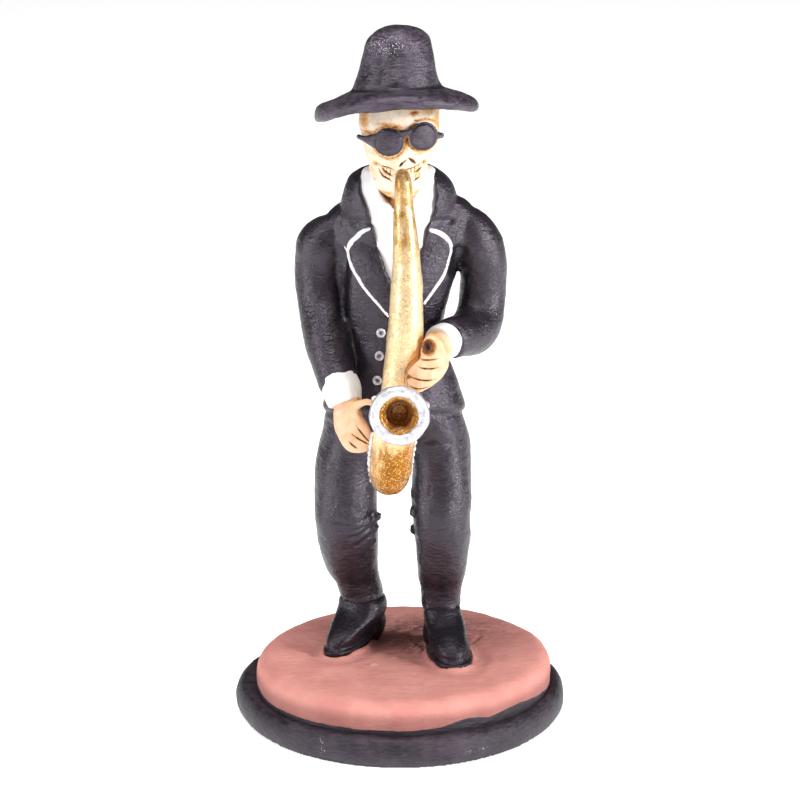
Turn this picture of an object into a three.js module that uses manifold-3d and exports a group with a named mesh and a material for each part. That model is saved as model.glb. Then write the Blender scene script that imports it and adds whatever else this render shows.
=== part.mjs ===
// A hand-modelled and painted clay figurine: a skeleton in a black suit, wide hat and round dark glasses
// plays a saxophone, standing on a round two-tier base. Millimetres, +Z up, the figure faces -Y, and the
// origin is the centre of the base's underside. Right and left are the musician's own (right is -X).
import * as THREE from "three";
import { mergeVertices } from "three/addons/utils/BufferGeometryUtils.js";
import Module from "manifold-3d";

const wasm = await Module();
wasm.setup();

// Driving dimensions
const BASE_RADIUS = 53;
const GROUND_HEIGHT = 19.5; // the trodden top of the base, where the boots stand
const GROUND_RADIUS = 47.2;
const GROUND_OFFSET = 1.2; // the upper tier sits a little off centre
const RIM_HEIGHT = 9.5;
const EYE_HEIGHT = 189.3;
const HAT_TILT_BACK = 9.4; // degrees
const HAT_LEAN = 3; // degrees, lower on the musician's right
const HAT_CREASE_HEIGHT = 203; // where crown and brim meet, at the middle of the hat
const CROWN_RADIUS = 13.5;
const CROWN_HEIGHT = 18.9;
const BRIM_RADIUS = 25.2;
const BRIM_THICKNESS = 4.4;
const BELL_RADIUS = 9.2;
const BELL_HOLE_RADIUS = 4.9;
const BELL_HOLE_DEPTH = 10;
const BELL_RISE = 10; // degrees above level that the bell looks
const SEAT_GAP = 0.3; // clearance kept between pieces that touch

const DEGREE = Math.PI / 180;
const X_AXIS = new THREE.Vector3(1, 0, 0);
const Y_AXIS = new THREE.Vector3(0, 1, 0);
const Z_AXIS = new THREE.Vector3(0, 0, 1);

// A closed three.js geometry as a manifold solid.
function solid(geometry) {
  const bare = geometry.clone();
  bare.deleteAttribute("normal");
  bare.deleteAttribute("uv");
  const merged = mergeVertices(bare, 1e-4);
  return new wasm.Manifold(
    new wasm.Mesh({
      numProp: 3,
      vertProperties: new Float32Array(merged.attributes.position.array),
      triVerts: new Uint32Array(merged.index.array),
    }),
  );
}

// A manifold solid as a three.js geometry.
function geometryOf(made) {
  const mesh = made.getMesh();
  const geometry = new THREE.BufferGeometry();
  geometry.setAttribute("position", new THREE.BufferAttribute(mesh.vertProperties, 3));
  geometry.setIndex(new THREE.BufferAttribute(mesh.triVerts, 1));
  return geometry;
}

const join = (...solids) => solids.reduce((whole, next) => whole.add(next));

// A roll of clay through stations [x, y, z, half width, half depth]. Each section is an ellipse square to
// the roll, its width along the reference direction; one number after z makes it round. With level set,
// the sections stay level, as slices of an upright form do. Grow thickens every section, and square under 1
// makes the ellipses squarer.
function roll(stations, { sides = 12, across = X_AXIS, level = false, grow = 0, square = 1 } = {}) {
  const rows = stations.length - 1;
  const centres = stations.map(([x, y, z]) => new THREE.Vector3(x, y, z));
  const path = new THREE.CatmullRomCurve3(centres, false, "catmullrom", 0.5);
  const geometry = new THREE.CylinderGeometry(1, 1, 1, sides, rows);
  const position = geometry.attributes.position;
  for (let i = 0; i < position.count; i++) {
    const row = Math.round((0.5 + position.getY(i)) * rows);
    const [, , , width, depth = width] = stations[row];
    const ahead = level ? Z_AXIS.clone() : path.getTangent(row / rows);
    const side = across.clone().addScaledVector(ahead, -across.dot(ahead)).normalize();
    const out = new THREE.Vector3().crossVectors(ahead, side);
    const [right, back] = [position.getX(i), position.getZ(i)].map(
      (value) => Math.sign(value) * Math.abs(value) ** square,
    );
    const point = centres[row]
      .clone()
      .addScaledVector(side, right * (width + grow))
      .addScaledVector(out, -back * (depth + grow));
    position.setXYZ(i, point.x, point.y, point.z);
  }
  return solid(geometry);
}

// A roll whose last end is rounded over, as a fingertip is.
function digit(stations, options = {}) {
  const [[x0, y0, z0], [x, y, z, radius]] = stations.slice(-2);
  const ahead = new THREE.Vector3(x - x0, y - y0, z - z0).setLength(radius * 0.8);
  const tip = [x + ahead.x, y + ahead.y, z + ahead.z, radius * 0.5];
  return roll([...stations, tip], { sides: 6, ...options });
}

const slices = (stations, options = {}) => roll(stations, { ...options, level: true });

// A ball of clay with half sizes, turned about the upright by degrees.
function ball([x, y, z], [rx, ry, rz], { sides = 10, rings = 6, grow = 0, turn = 0 } = {}) {
  const geometry = new THREE.SphereGeometry(1, sides, rings);
  geometry.scale(rx + grow, ry + grow, rz + grow);
  geometry.rotateZ(turn * DEGREE).translate(x, y, z);
  return solid(geometry);
}

// A turned form: the outline runs from the axis at the bottom, out and up, and back to the axis.
function turned(outline, sides) {
  const points = outline.map(([radius, height]) => new THREE.Vector2(radius, height));
  return new THREE.LatheGeometry(points, sides).rotateX(Math.PI / 2);
}

// Points on an arc of an ellipse in an outline, from one angle to another, in degrees.
function arc([centreX, centreY], [radiusX, radiusY], from, to, steps) {
  const curve = new THREE.EllipseCurve(centreX, centreY, radiusX, radiusY, from * DEGREE, to * DEGREE);
  return curve.getPoints(steps).map((point) => [point.x, point.y]);
}

// A flat outline in the XZ plane, pushed through from one depth to another.
function pushedThrough(outline, nearY, farY) {
  const shape = new THREE.Shape(outline.map(([x, z]) => new THREE.Vector2(x, z)));
  const geometry = new THREE.ExtrudeGeometry(shape, { depth: farY - nearY, bevelEnabled: false });
  return solid(geometry.rotateX(Math.PI / 2).translate(0, farY, 0));
}

// Base: a rounded lower tier with a groove above it, and the ground, a little off centre, on top
const RIM_MIDDLE = 4.5; // height at which the rim is widest
const RIM_ROUND = 3.4; // how far the rim's side is rounded, across
const RIM_FOOT = 1.7; // how far the rim's foot is set in
const GROOVE_DEPTH = 0.7; // below the rim's top, where the upper tier meets it
const GROUND_EDGE = [4.2, 4.7]; // how far the ground's edge is rounded, across and down
// Rolled by hand, the rim swells to the front and to both back corners, and the ground to two corners
const RIM_SWELL = 1;
const GROUND_SWELL = 1.2;

// Swells a ring at one angle, and shifts it so that its outline stays centred.
function unevenRing(x, y, isRim) {
  const angle = Math.atan2(y, x);
  const swell = isRim ? RIM_SWELL * Math.sin(3 * angle) : GROUND_SWELL * Math.sin(2 * angle);
  const factor = 1 + swell / BASE_RADIUS;
  return isRim ? [x * factor, y * factor + RIM_SWELL] : [x * factor + GROUND_OFFSET, y * factor];
}

function makeBase() {
  const edgeCentre = [GROUND_RADIUS - GROUND_EDGE[0], GROUND_HEIGHT - GROUND_EDGE[1]];
  const outline = [
    [0, 0],
    [BASE_RADIUS - RIM_FOOT, 0],
    ...arc([BASE_RADIUS - RIM_ROUND, RIM_MIDDLE], [RIM_ROUND, RIM_HEIGHT - RIM_MIDDLE], -40, 90, 4),
    [GROUND_RADIUS, RIM_HEIGHT - GROOVE_DEPTH],
    [GROUND_RADIUS - 0.1, RIM_HEIGHT + 1.5],
    ...arc(edgeCentre, GROUND_EDGE, 0, 90, 3),
    [0, GROUND_HEIGHT],
  ];
  const geometry = turned(outline, 36);
  const position = geometry.attributes.position;
  for (let i = 0; i < position.count; i++) {
    const isRim = position.getZ(i) < RIM_HEIGHT + 0.1;
    const [x, y] = unevenRing(position.getX(i), position.getY(i), isRim);
    position.setXY(i, x, y);
  }
  return solid(geometry);
}

// Legs and boots
const RIGHT_LEG = [
  [-12.3, 11.4, 35.9, 5.9, 6],
  [-12.6, 11.1, 37.6, 7, 7],
  [-13.6, 9.6, 40.5, 7.3, 7.2],
  [-15.1, 7.5, 44.5, 8.2, 8.0],
  [-16.3, 3.3, 53.5, 9.4, 8.8],
  [-17, -0.5, 63.5, 9.9, 9.2],
  [-17.2, 0.5, 73, 10, 9.6],
  [-16.7, 3.2, 83, 10, 10.4],
  [-13.5, 5, 91.5, 11.2, 12],
  [-11, 5.5, 99, 11, 13],
];
const LEFT_LEG = [
  [13.2, 4.7, 35.9, 5.4, 5.6],
  [13.2, 4.5, 37.6, 6.1, 6.4],
  [13.3, 3.6, 40.5, 6.5, 6.8],
  [13.4, 1.6, 45.5, 7.6, 7.6],
  [13.6, -1.8, 55, 8.5, 8.4],
  [13.3, -3.8, 65, 9.2, 9.0],
  [13.2, -2.3, 73.5, 9.6, 9.4],
  [13, 1.2, 83, 9.5, 10],
  [11.5, 4, 91, 10.5, 11.5],
  [8.5, 5, 99, 11, 13],
];
const SEAT = [
  [-2, 5, 85.5, 8, 6],
  [-2, 5, 88.5, 16, 10],
  [-2, 5, 92, 21.4, 12.6],
  [-2, 5, 97, 21.8, 14],
  [-2, 5, 101, 20.5, 14.4],
];
// Boots, as slices: height above the ground, how far before the heel and across its middle is, half length
// and half width. A second ball of clay fills out the heel, the same way: height, before, across, half size.
const RIGHT_BOOT = {
  heel: [-9.7, 18.8],
  turnOut: 25,
  slices: [
    [0, 13.6, -0.6, 14.2, 5.2],
    [2.1, 13.6, -0.6, 14.3, 5.4],
    [2.5, 13.5, -0.6, 13.7, 5],
    [4.6, 13.2, -0.4, 13.3, 5.5],
    [6.6, 12.2, 0, 12.2, 6.2],
    [8.6, 10.4, 0.5, 10.2, 6.9],
    [10.6, 8.8, 0.9, 8.4, 7.5],
    [12.8, 8, 1, 7.3, 7.5],
    [15.4, 7.8, 0.8, 6.9, 7.2],
    [18, 7.8, 0.4, 6.6, 6.7],
  ],
  heelBall: [5.5, 5.4, 0.9, [6.6, 6.4, 8]],
};
const LEFT_BOOT = {
  heel: [13.2, 10.4],
  turnOut: -7,
  slices: [
    [0, 14.2, 0.9, 14.6, 6.5],
    [2.1, 14.2, 0.9, 14.7, 6.7],
    [2.5, 14.1, 0.9, 14.1, 6.2],
    [4.6, 13.8, 0.7, 13.7, 6.4],
    [6.6, 12.8, 0.4, 12.8, 6.3],
    [8.6, 10.8, 0.1, 10.8, 6.2],
    [10.6, 8.6, -0.2, 8.6, 6.1],
    [12.8, 7, -0.5, 7, 6],
    [15.4, 6.2, -0.6, 6.3, 6],
    [18, 6, -0.6, 6, 5.8],
  ],
  heelBall: [5.5, 5.6, -0.4, [6.3, 6.2, 8]],
};
const BOOT_SQUARENESS = 0.8; // 1 gives elliptical slices, less gives squarer ones

function makeBoot({ heel: [heelX, heelY], turnOut, slices: rows, heelBall }) {
  const stations = rows.map(([height, before, across, length, width]) => {
    return [across, -before, height, width, length];
  });
  const [height, before, across, half] = heelBall;
  const below = new THREE.BoxGeometry(100, 100, 40).translate(0, 0, -20);
  return join(slices(stations, { sides: 14, square: BOOT_SQUARENESS }), ball([across, -before, height], half))
    .subtract(solid(below))
    .rotate([0, 0, -turnOut])
    .translate([heelX, heelY, GROUND_HEIGHT]);
}

// Jacket, collar and shirt
const JACKET = [
  [-2, 5.2, 97.6, 22.4, 15.2],
  [-1.9, 5, 100.6, 22.9, 15.8],
  [-1.7, 5, 106, 20.8, 14.8],
  [-1.8, 5, 112.5, 18.5, 13.5],
  [-2.2, 5, 119, 16.7, 12.8],
  [-2.4, 5, 126, 15.8, 12.4],
  [-1.9, 5, 134, 17, 12.6],
  [-1.1, 5.5, 142, 18.4, 13],
  [-0.2, 6.5, 149, 20.4, 12.8],
  [0.2, 7.3, 155, 23.4, 11.8],
  [0.8, 8, 160.6, 24.1, 10.6],
  [1.2, 8, 164.6, 21.4, 9.4],
  [1.7, 8, 167.4, 17, 8],
  [1.5, 8, 169.4, 11, 6.6],
];
const COLLAR = [
  [-0.8, 6, 156, 16.6, 12],
  [-0.6, 6.2, 160.5, 17.8, 12.6],
  [-0.5, 6.2, 165, 18.3, 12.8],
  [-0.3, 6, 168.8, 17.8, 12.6],
  [-0.3, 6, 172.2, 16.5, 12],
  [-0.5, 6, 174.8, 14.6, 11],
  [-0.4, 6, 176.8, 11.6, 9.4],
];
const COLLAR_INSIDE = [
  [0, 4, 155, 9, 7],
  [-0.5, 4, 163, 12, 8.6],
  [-0.7, 4.5, 171, 12.4, 8.8],
  [-0.8, 5, 178, 10.6, 8],
];
// The front opening of the collar, seen from the front, as x and z
const COLLAR_OPENING = [
  [-8, 159.5],
  [-10.2, 166.5],
  [-12.4, 171.5],
  [-12.4, 175],
  [-11, 179],
  [-10, 184],
  [8, 184],
  [8.8, 180],
  [10.4, 175.5],
  [11.2, 170],
  [11, 165.5],
  [8, 160],
];
// The V between the lapels, where the shirt shows
const CHEST_OPENING = [
  [-8, 160],
  [-6.2, 153],
  [-4.3, 147],
  [0, 137.5],
  [3.7, 146],
  [6.2, 153.5],
  [8, 160.5],
  [6, 170],
  [-6, 170],
];
const SHIRT_DEPTH = 1.3; // below the jacket's face
const LAPEL_RISE = 0.7;
const RIGHT_LAPEL = [
  [-8.6, 160.4],
  [-11.8, 159.6],
  [-14.3, 157.1],
  [-15.4, 154.4],
  [-15, 150],
  [-13.4, 146.4],
  [-10.8, 142.8],
  [-7, 138],
  [-3, 133.2],
  [0, 130.6],
  [0, 137.5],
  [-4.3, 147],
  [-6.2, 153],
];
const LEFT_LAPEL = [
  [8.2, 160.2],
  [12.3, 159.4],
  [15.7, 156.4],
  [15.9, 153.8],
  [15.3, 151],
  [13.3, 146],
  [10.2, 141.2],
  [6.4, 137],
  [0, 130.6],
  [0, 137.5],
  [3.7, 146],
  [6.2, 153.5],
];
const SHIRT = [
  [0, 4, 146, 11, 10],
  [0, 3.6, 153, 11.6, 10],
  [-0.3, 3.2, 160, 12.3, 9.8],
  [-0.5, 3, 166, 12.6, 9.4],
  [-0.6, 3.2, 171, 11.8, 9],
  [-0.6, 3.6, 174.6, 9.8, 8],
];
// The throat shows in a V of the shirt, seen from the front
const THROAT_OPENING = [
  [-0.4, 163.5],
  [5.6, 172],
  [5.6, 178],
  [-6.6, 178],
  [-6.6, 172],
];
const NECK = [
  [0, 3.4, 150, 5.6],
  [0, 3, 166, 5.2],
  [0, 2.4, 178, 5.4],
];
const BUTTONS = [
  [-5.9, 127.3],
  [-6.4, 120],
  [-7.1, 112.2],
];
const BUTTON_RADIUS = 1.45;
const BUTTON_RISE = 0.6;
const BUTTON_LENGTH = 3; // most of it is sunk in the jacket

// Depth of the front of an upright form at a place seen from the front.
function frontOf(stations, x, z) {
  const above = stations.findIndex((row) => row[2] >= z);
  const [low, high] = [stations[above - 1], stations[above]];
  const share = (z - low[2]) / (high[2] - low[2]);
  const [cx, cy, , rx, ry] = low.map((value, k) => value + (high[k] - value) * share);
  return cy - ry * Math.sqrt(1 - ((x - cx) / rx) ** 2);
}

function makeButton([x, z]) {
  const button = new THREE.CylinderGeometry(BUTTON_RADIUS * 1.1, BUTTON_RADIUS, BUTTON_LENGTH, 9);
  const depth = frontOf(JACKET, x, z) + BUTTON_LENGTH / 2 - BUTTON_RISE;
  return solid(button.translate(x, depth, z));
}

// The jacket's body, opened over the shirt, with its two lapels
function makeJacket() {
  const opening = pushedThrough(CHEST_OPENING, -30, 2).subtract(
    slices(JACKET, { sides: 20, grow: -SHIRT_DEPTH }),
  );
  const raised = slices(JACKET, { sides: 20, grow: LAPEL_RISE });
  const lapels = [RIGHT_LAPEL, LEFT_LAPEL].map((outline) =>
    pushedThrough(outline, -30, 0).intersect(raised),
  );
  return join(slices(JACKET, { sides: 20 }), ...lapels).subtract(opening);
}

function makeCollar() {
  return slices(COLLAR, { sides: 18 })
    .subtract(slices(COLLAR_INSIDE))
    .subtract(pushedThrough(COLLAR_OPENING, -20, 2));
}

function makeShirt() {
  return slices(SHIRT, { sides: 14 }).subtract(pushedThrough(THROAT_OPENING, -20, 1));
}

// Arms, cuffs and hands
const RIGHT_ARM = [
  [-15, 8, 158.5, 4],
  [-20.4, 8, 156, 6.4],
  [-24, 8, 152.6, 8.1],
  [-25.5, 8, 146.4, 7.6],
  [-25.7, 7.3, 140.5, 7.3],
  [-24.8, 5.3, 134, 7.4],
  [-23.6, 1.5, 127.8, 7.5],
  [-22.2, -3.3, 121.3, 7.1],
  [-20.3, -8, 115.3, 6.5],
  [-19.1, -10.4, 112, 6.3],
];
const LEFT_ARM = [
  [14, 8, 160, 4.5],
  [20.8, 8, 157.6, 7],
  [24.2, 8, 152.6, 7.9],
  [26, 8.2, 146.5, 7.4],
  [26, 8.4, 140, 7.4],
  [25.6, 7.6, 133.5, 7.4],
  [24.3, 4.2, 127.4, 7.9],
  [21.6, -1, 125.7, 7.5],
  [18.8, -5.8, 126, 6.5],
  [17.1, -8.2, 126.2, 6.3],
  [15.6, -10.3, 126.1, 6.2],
];
const LEFT_ARM_ACROSS = new THREE.Vector3(0.83, -0.56, 0); // square to its bend
const RIGHT_CUFF = [
  [-19.3, -10, 113.2, 5.9],
  [-17.8, -12.8, 109.6, 6],
  [-17, -14.6, 106.6, 5.2],
];
const LEFT_CUFF = [
  [15.2, -10.5, 126.1, 5.4],
  [13.3, -13, 126, 5.7],
  [12.1, -14.8, 125.8, 5.4],
];
const LEFT_WRIST = [
  [15.2, -10.8, 126.2, 4.4],
  [12.2, -15.6, 124.8, 4.6],
  [10.8, -18.6, 122.6, 4.4],
];
// Each hand is a pat of clay with grooves between its fingers. Its outline is seen from the front, as x
// and z, and its depths run down the hand: x, z, front and back. The grooves are x, y and z.
const RIGHT_HAND = {
  outline: [
    [-15.2, 110.3],
    [-18.6, 108.4],
    [-20.9, 105],
    [-20.4, 99.6],
    [-18.1, 95.2],
    [-15.8, 93.4],
    [-12.6, 93.3],
    [-9.2, 94.5],
    [-7.8, 96],
    [-9.2, 100.4],
    [-11.6, 103.6],
    [-12.6, 106.6],
    [-12.2, 109.2],
  ],
  depths: [
    [-16, 109, -18.8, -12],
    [-13.6, 104.4, -21, -15],
    [-11.2, 99.8, -23.5, -18],
    [-8.5, 94.8, -27, -23],
  ],
  grooves: [
    [[-13.7, -21.4, 102.2], [-12.1, -22.9, 100], [-9.8, -24.3, 97.6], [-7.8, -24.8, 96]],
    [[-15.5, -21.6, 99.6], [-14.7, -22.3, 98.7], [-12.4, -24, 96.6], [-9.4, -25.2, 94.8]],
    [[-16.8, -22.5, 97.9], [-15.5, -23.8, 96.4], [-14.2, -24.5, 95.4], [-12.4, -24.9, 94.8]],
  ],
};
const LEFT_HAND = {
  outline: [
    [6.4, 124.2],
    [3.6, 122.2],
    [2.1, 119.4],
    [2, 115.8],
    [3.6, 113.8],
    [6.4, 113.2],
    [10, 114.6],
    [13.4, 117],
    [15.2, 120.2],
    [14.6, 125.4],
    [12.6, 129.6],
    [9.4, 131.3],
    [6.9, 129.8],
    [6.2, 127],
  ],
  depths: [
    [2, 118, -27.5, -25.5],
    [5.5, 118, -28.8, -24.5],
    [9.5, 118, -28, -17],
    [14.5, 118, -25, -14],
  ],
  grooves: [
    [[4.5, -28.2, 122.1], [5.6, -28.6, 121.2], [7.7, -28.5, 120.2], [9.9, -28, 120], [12.4, -26.4, 120.4]],
    [[2, -27.2, 119.2], [3.4, -28.1, 117.6], [6.9, -28.6, 116.8], [9.7, -28, 117.3], [12, -26.4, 117.5]],
    [[2, -26.6, 116.4], [4.1, -28, 115.4], [6.2, -28, 115.3], [9.4, -27, 115.8]],
    [[6, -27.6, 124.3], [8.8, -27.8, 124.1], [11.6, -26.4, 124.1]],
  ],
};
const GROOVE = { depth: 0.9, width: 0.4 };
const PAT_EDGE = 0.55; // 1 gives a pat that thins evenly to its edge, less gives a fuller one
const RIGHT_THUMB = [
  [-13.6, -19.4, 107.3, 1.4],
  [-11.9, -21.4, 108.6, 1.2],
  [-10.3, -22.3, 109.2, 1],
  [-8.4, -22.6, 108.9, 0.8],
];
const THUMB_HOLLOW = { centre: [8.7, -26.6, 127.8], half: [2.5, 3.4, 2.8] };

// Front and back of a hand at a place, between the two depths that it lies between.
function depthsAt(depths, x, z) {
  const stops = depths.map(([stopX, stopZ]) => new THREE.Vector2(stopX, stopZ));
  const way = stops.at(-1).clone().sub(stops[0]).normalize();
  const wanted = way.dot(new THREE.Vector2(x, z));
  const after = stops.findIndex((stop) => way.dot(stop) > wanted);
  const next = after < 0 ? stops.length - 1 : Math.max(after, 1);
  const [low, high] = [way.dot(stops[next - 1]), way.dot(stops[next])];
  const share = THREE.MathUtils.clamp((wanted - low) / (high - low), 0, 1);
  return [2, 3].map((k) => THREE.MathUtils.lerp(depths[next - 1][k], depths[next][k], share));
}

// A pat of clay: a ball whose grid is drawn out to the outline.
function pat({ outline, depths }, rings = 5) {
  const sides = outline.length;
  const geometry = new THREE.SphereGeometry(1, sides, rings);
  const middle = [0, 1].map((k) => outline.reduce((sum, point) => sum + point[k], 0) / sides);
  const position = geometry.attributes.position;
  for (let i = 0; i < position.count; i++) {
    const corner = outline[(i % (sides + 1)) % sides];
    const bend = (Math.PI * Math.floor(i / (sides + 1))) / rings;
    const spread = Math.max(0, Math.sin(bend)) ** PAT_EDGE;
    const [x, z] = middle.map((value, k) => value + (corner[k] - value) * spread);
    const [front, back] = depthsAt(depths, x, z);
    position.setXYZ(i, x, (front + back) / 2 + ((front - back) / 2) * Math.cos(bend), z);
  }
  return solid(geometry);
}

function makeHand(hand) {
  const grooves = hand.grooves.map((line) =>
    roll(line.map(([x, y, z]) => [x, y, z, GROOVE.depth, GROOVE.width]), { sides: 4, across: Y_AXIS }),
  );
  return pat(hand).subtract(join(...grooves));
}

// Head: a skull with a narrow jaw
const SKULL = [
  [0.5, -4.4, 169.6, 2.8, 3.8],
  [-0.1, -3.6, 171.4, 5.6, 6.4],
  [-0.4, -2.8, 174.2, 7.4, 8.3],
  [-0.6, -2, 177.2, 8.7, 9.8],
  [-0.5, -0.9, 180.5, 9.2, 11],
  [-0.1, 0.1, 183.7, 10.4, 11.8],
  [0.1, 1, 187, 11.6, 12.4],
  [-0.2, 1.7, 191.2, 12.4, 12.7],
  [-0.2, 2, 196.5, 12.2, 12.4],
  [0, 2, 200, 10.8, 11],
  [0, 2, 202.2, 8, 8.4],
];
// The slits of the nose and the lines of the grin, seen from the front
const FACE_LINES = [
  [[0, 181.5], [1.3, 183.1]],
  [[2.7, 183.7], [4.2, 182.2]],
  [[-8, 182.2], [-6.6, 180.3], [-4.4, 179], [-2.2, 178]],
  [[-6.4, 179.6], [-4.8, 177.4], [-2.4, 175.8]],
  [[-0.6, 179.7], [2, 180], [4.6, 180.9], [7.3, 182.4]],
  [[4, 176.1], [5.6, 177.2], [6.8, 178.8]],
];
const LINE_RADIUS = 0.45;
function faceLine(line) {
  const stations = line.map(([x, z]) => [x, frontOf(SKULL, x, z), z, LINE_RADIUS]);
  return roll(stations, { sides: 4, across: Y_AXIS });
}
const makeSkull = (grow = 0) => slices(SKULL, { sides: 16, grow });

// Hat: a pinched crown on a thick brim that droops at the sides, worn tilted back
const HAT_PLACE = [-0.9, 0, HAT_CREASE_HEIGHT];
const HAT_TURN = [-HAT_TILT_BACK * DEGREE, -HAT_LEAN * DEGREE, 0, "YXZ"];
const SIDE_DROOP = 4.6;
const FRONT_DROOP = 2.2;
const UNDERSIDE = 4.6; // below the crease, at the crown
const DOME_HEIGHT = 6.3;
const DOME_RADIUS = CROWN_RADIUS - 3.1;

const CROWN_SHIFT = 0.7; // the crown leans to the left as it rises
const CROWN_SLANT = 0.08; // rise of its top towards the left, per millimetre across
const CROWN_RISE = 0.25;
// The brim's right tip is drawn out, and thickened both ways
const TIP_REACH = 0.7;
const TIP_LIFT = 0.3;
const TIP_DROP = 0.9;

// Where shaping by hand moves a place on the turned brim: it hangs, and is thickened at its right tip.
function bendBrim([x, y, z]) {
  const radius = Math.hypot(x, y);
  if (radius <= CROWN_RADIUS) return [x, y, z];
  const out = (radius - CROWN_RADIUS) / (BRIM_RADIUS - CROWN_RADIUS);
  const hang = FRONT_DROOP + (SIDE_DROOP - FRONT_DROOP) * (x / radius) ** 2;
  const tip = out * THREE.MathUtils.smoothstep(-x, 8, 24);
  const upper = THREE.MathUtils.smoothstep(z, -0.8 * BRIM_THICKNESS, -0.2 * BRIM_THICKNESS);
  return [x - TIP_REACH * tip, y, z - out * hang - TIP_DROP * tip + (TIP_DROP + TIP_LIFT) * tip * upper];
}

// Where it moves a place on the crown, whose top slants.
function bendCrown([x, y, z]) {
  const high = THREE.MathUtils.smoothstep(z, CROWN_HEIGHT / 2, CROWN_HEIGHT);
  const raised = THREE.MathUtils.smoothstep(z, 2, CROWN_HEIGHT / 2);
  return [x + CROWN_SHIFT * raised, y, z + high * (x * CROWN_SLANT + CROWN_RISE)];
}

// Made round its own axis, with the crease at zero height, and hollowed to fit the head.
function makeHat() {
  const halfEdge = BRIM_THICKNESS / 2;
  const outline = [
    [0, -UNDERSIDE],
    [CROWN_RADIUS, -UNDERSIDE],
    ...arc([BRIM_RADIUS - halfEdge, -halfEdge], [halfEdge, halfEdge], -90, 90, 4),
    [CROWN_RADIUS + 0.6, 0],
    [CROWN_RADIUS - 0.2, 1.4],
    [CROWN_RADIUS - 2, 8],
    ...arc([0, CROWN_HEIGHT - DOME_HEIGHT], [DOME_RADIUS, DOME_HEIGHT], 0, 90, 4),
  ];
  const geometry = turned(outline, 28);
  const position = geometry.attributes.position;
  for (let i = 0; i < position.count; i++) {
    const spot = [position.getX(i), position.getY(i), position.getZ(i)];
    position.setXYZ(i, ...bendCrown(bendBrim(spot)));
  }
  const place = new THREE.Object3D();
  place.position.set(...HAT_PLACE);
  place.rotation.set(...HAT_TURN);
  place.updateMatrix();
  const head = makeSkull(SEAT_GAP).transform(place.matrix.invert().elements);
  return solid(geometry).subtract(head);
}

// Sunglasses: two domed discs, a bridge and temples that hug the head
const RIGHT_LENS = { centre: [-3.5, -11.3, EYE_HEIGHT - 0.9], turn: -12 };
const LEFT_LENS = { centre: [7.2, -10.7, EYE_HEIGHT + 0.8], turn: 24 };
const LENS_HALF = [4.8, 1.1, 4.6];
const BRIDGE = [
  [-0.9, -11.7, EYE_HEIGHT + 1.5, 1.2, 0.7],
  [1.8, -12.2, EYE_HEIGHT + 2.2, 1, 0.7],
  [4.4, -11.6, EYE_HEIGHT + 2.2, 1.2, 0.7],
];
const RIGHT_TEMPLE = [
  [-6.2, -11, EYE_HEIGHT - 0.7, 3, 0.8],
  [-8.6, -8.8, EYE_HEIGHT - 0.9, 2, 0.8],
  [-10.6, -6.4, EYE_HEIGHT - 1, 1.1, 0.7],
  [-12.4, -3.4, EYE_HEIGHT - 0.9, 0.8, 0.7],
  [-12.9, -0.4, EYE_HEIGHT - 1.3, 0.7, 0.6],
];
const LEFT_TEMPLE = [
  [10.2, -9.3, EYE_HEIGHT + 0.8, 1.5, 0.7],
  [12, -5, EYE_HEIGHT - 0.1, 1, 0.8],
  [12.9, -2, EYE_HEIGHT - 0.7, 0.9, 0.7],
  [12.8, 0.4, EYE_HEIGHT - 1.2, 0.8, 0.6],
];
function makeSunglasses(grow = 0) {
  const lenses = [RIGHT_LENS, LEFT_LENS].map(({ centre, turn }) =>
    ball(centre, LENS_HALF, { sides: 14, rings: 5, grow, turn }),
  );
  const bars = [BRIDGE, RIGHT_TEMPLE, LEFT_TEMPLE].map((stations) =>
    roll(stations, { sides: 5, across: Z_AXIS, grow }),
  );
  return join(...lenses, ...bars);
}

// Saxophone: a cone from the mouth down to a bow, and a bell that looks forward
const SAX_BODY = [
  [0.3, -10.2, 180, 1.7],
  [0.7, -12.2, 177.4, 2.4],
  [1.2, -13.7, 168, 3.15],
  [1.8, -15.2, 158.7, 3.95],
  [2.1, -17.1, 146.6, 4.7],
  [1.8, -19, 133.5, 5.4],
  [0.6, -20.1, 118, 5.8],
  [-1.2, -20.6, 103, 6.2],
  [-2.9, -21, 89, 6.2],
];
const SAX_BOW = [
  [-3.3, -26.8, 82.3, 2.4, 5.4],
  [-3.3, -26.8, 83.2, 4.1, 8.6],
  [-3.2, -26.8, 85.1, 5.6, 11],
  [-3.1, -26.8, 88, 6.4, 12.3],
  [-2.8, -26.8, 91.5, 6.5, 12.5],
  [-2.5, -26.8, 94.5, 6.2, 12.2],
];
const BELL_CENTRE = [-0.2, -41.2, 110.3];
const SAX_THROAT = [
  [-2.9, -32.8, 89, 6.3],
  [-2.4, -32.9, 96, 6.4],
  [-1.6, -33.7, 102.5, 6.5],
  [-0.8, -36.6, 107.2, 6.9],
  [-0.2, -39.4, 108.9, 6.9],
];
// Thin strips down both sides of the bow
const KEY_GUARDS = [
  [
    [-8.2, -29, 99.5, 0.8, 1.3],
    [-8.9, -29.2, 95.5, 0.8, 1.3],
    [-9.2, -29, 91, 0.8, 1.3],
    [-8.6, -28.6, 86.8, 0.7, 1.1],
  ],
  [
    [4.6, -29.4, 100, 0.8, 1.3],
    [3.9, -29.6, 96.5, 0.8, 1.3],
    [3.4, -29.4, 92.5, 0.8, 1.3],
    [2.9, -28.8, 88.8, 0.7, 1.1],
  ],
];
const KEY_KNOBS = [
  [[4.2, -21.4, 107.6, 0.9], [6.4, -23.2, 108.4, 1], [7.8, -24.2, 108.6, 1.4]],
  [[-5.4, -22, 110, 0.9], [-7, -23, 110.4, 0.9], [-7.8, -23.6, 110.6, 1.1]],
];

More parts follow.
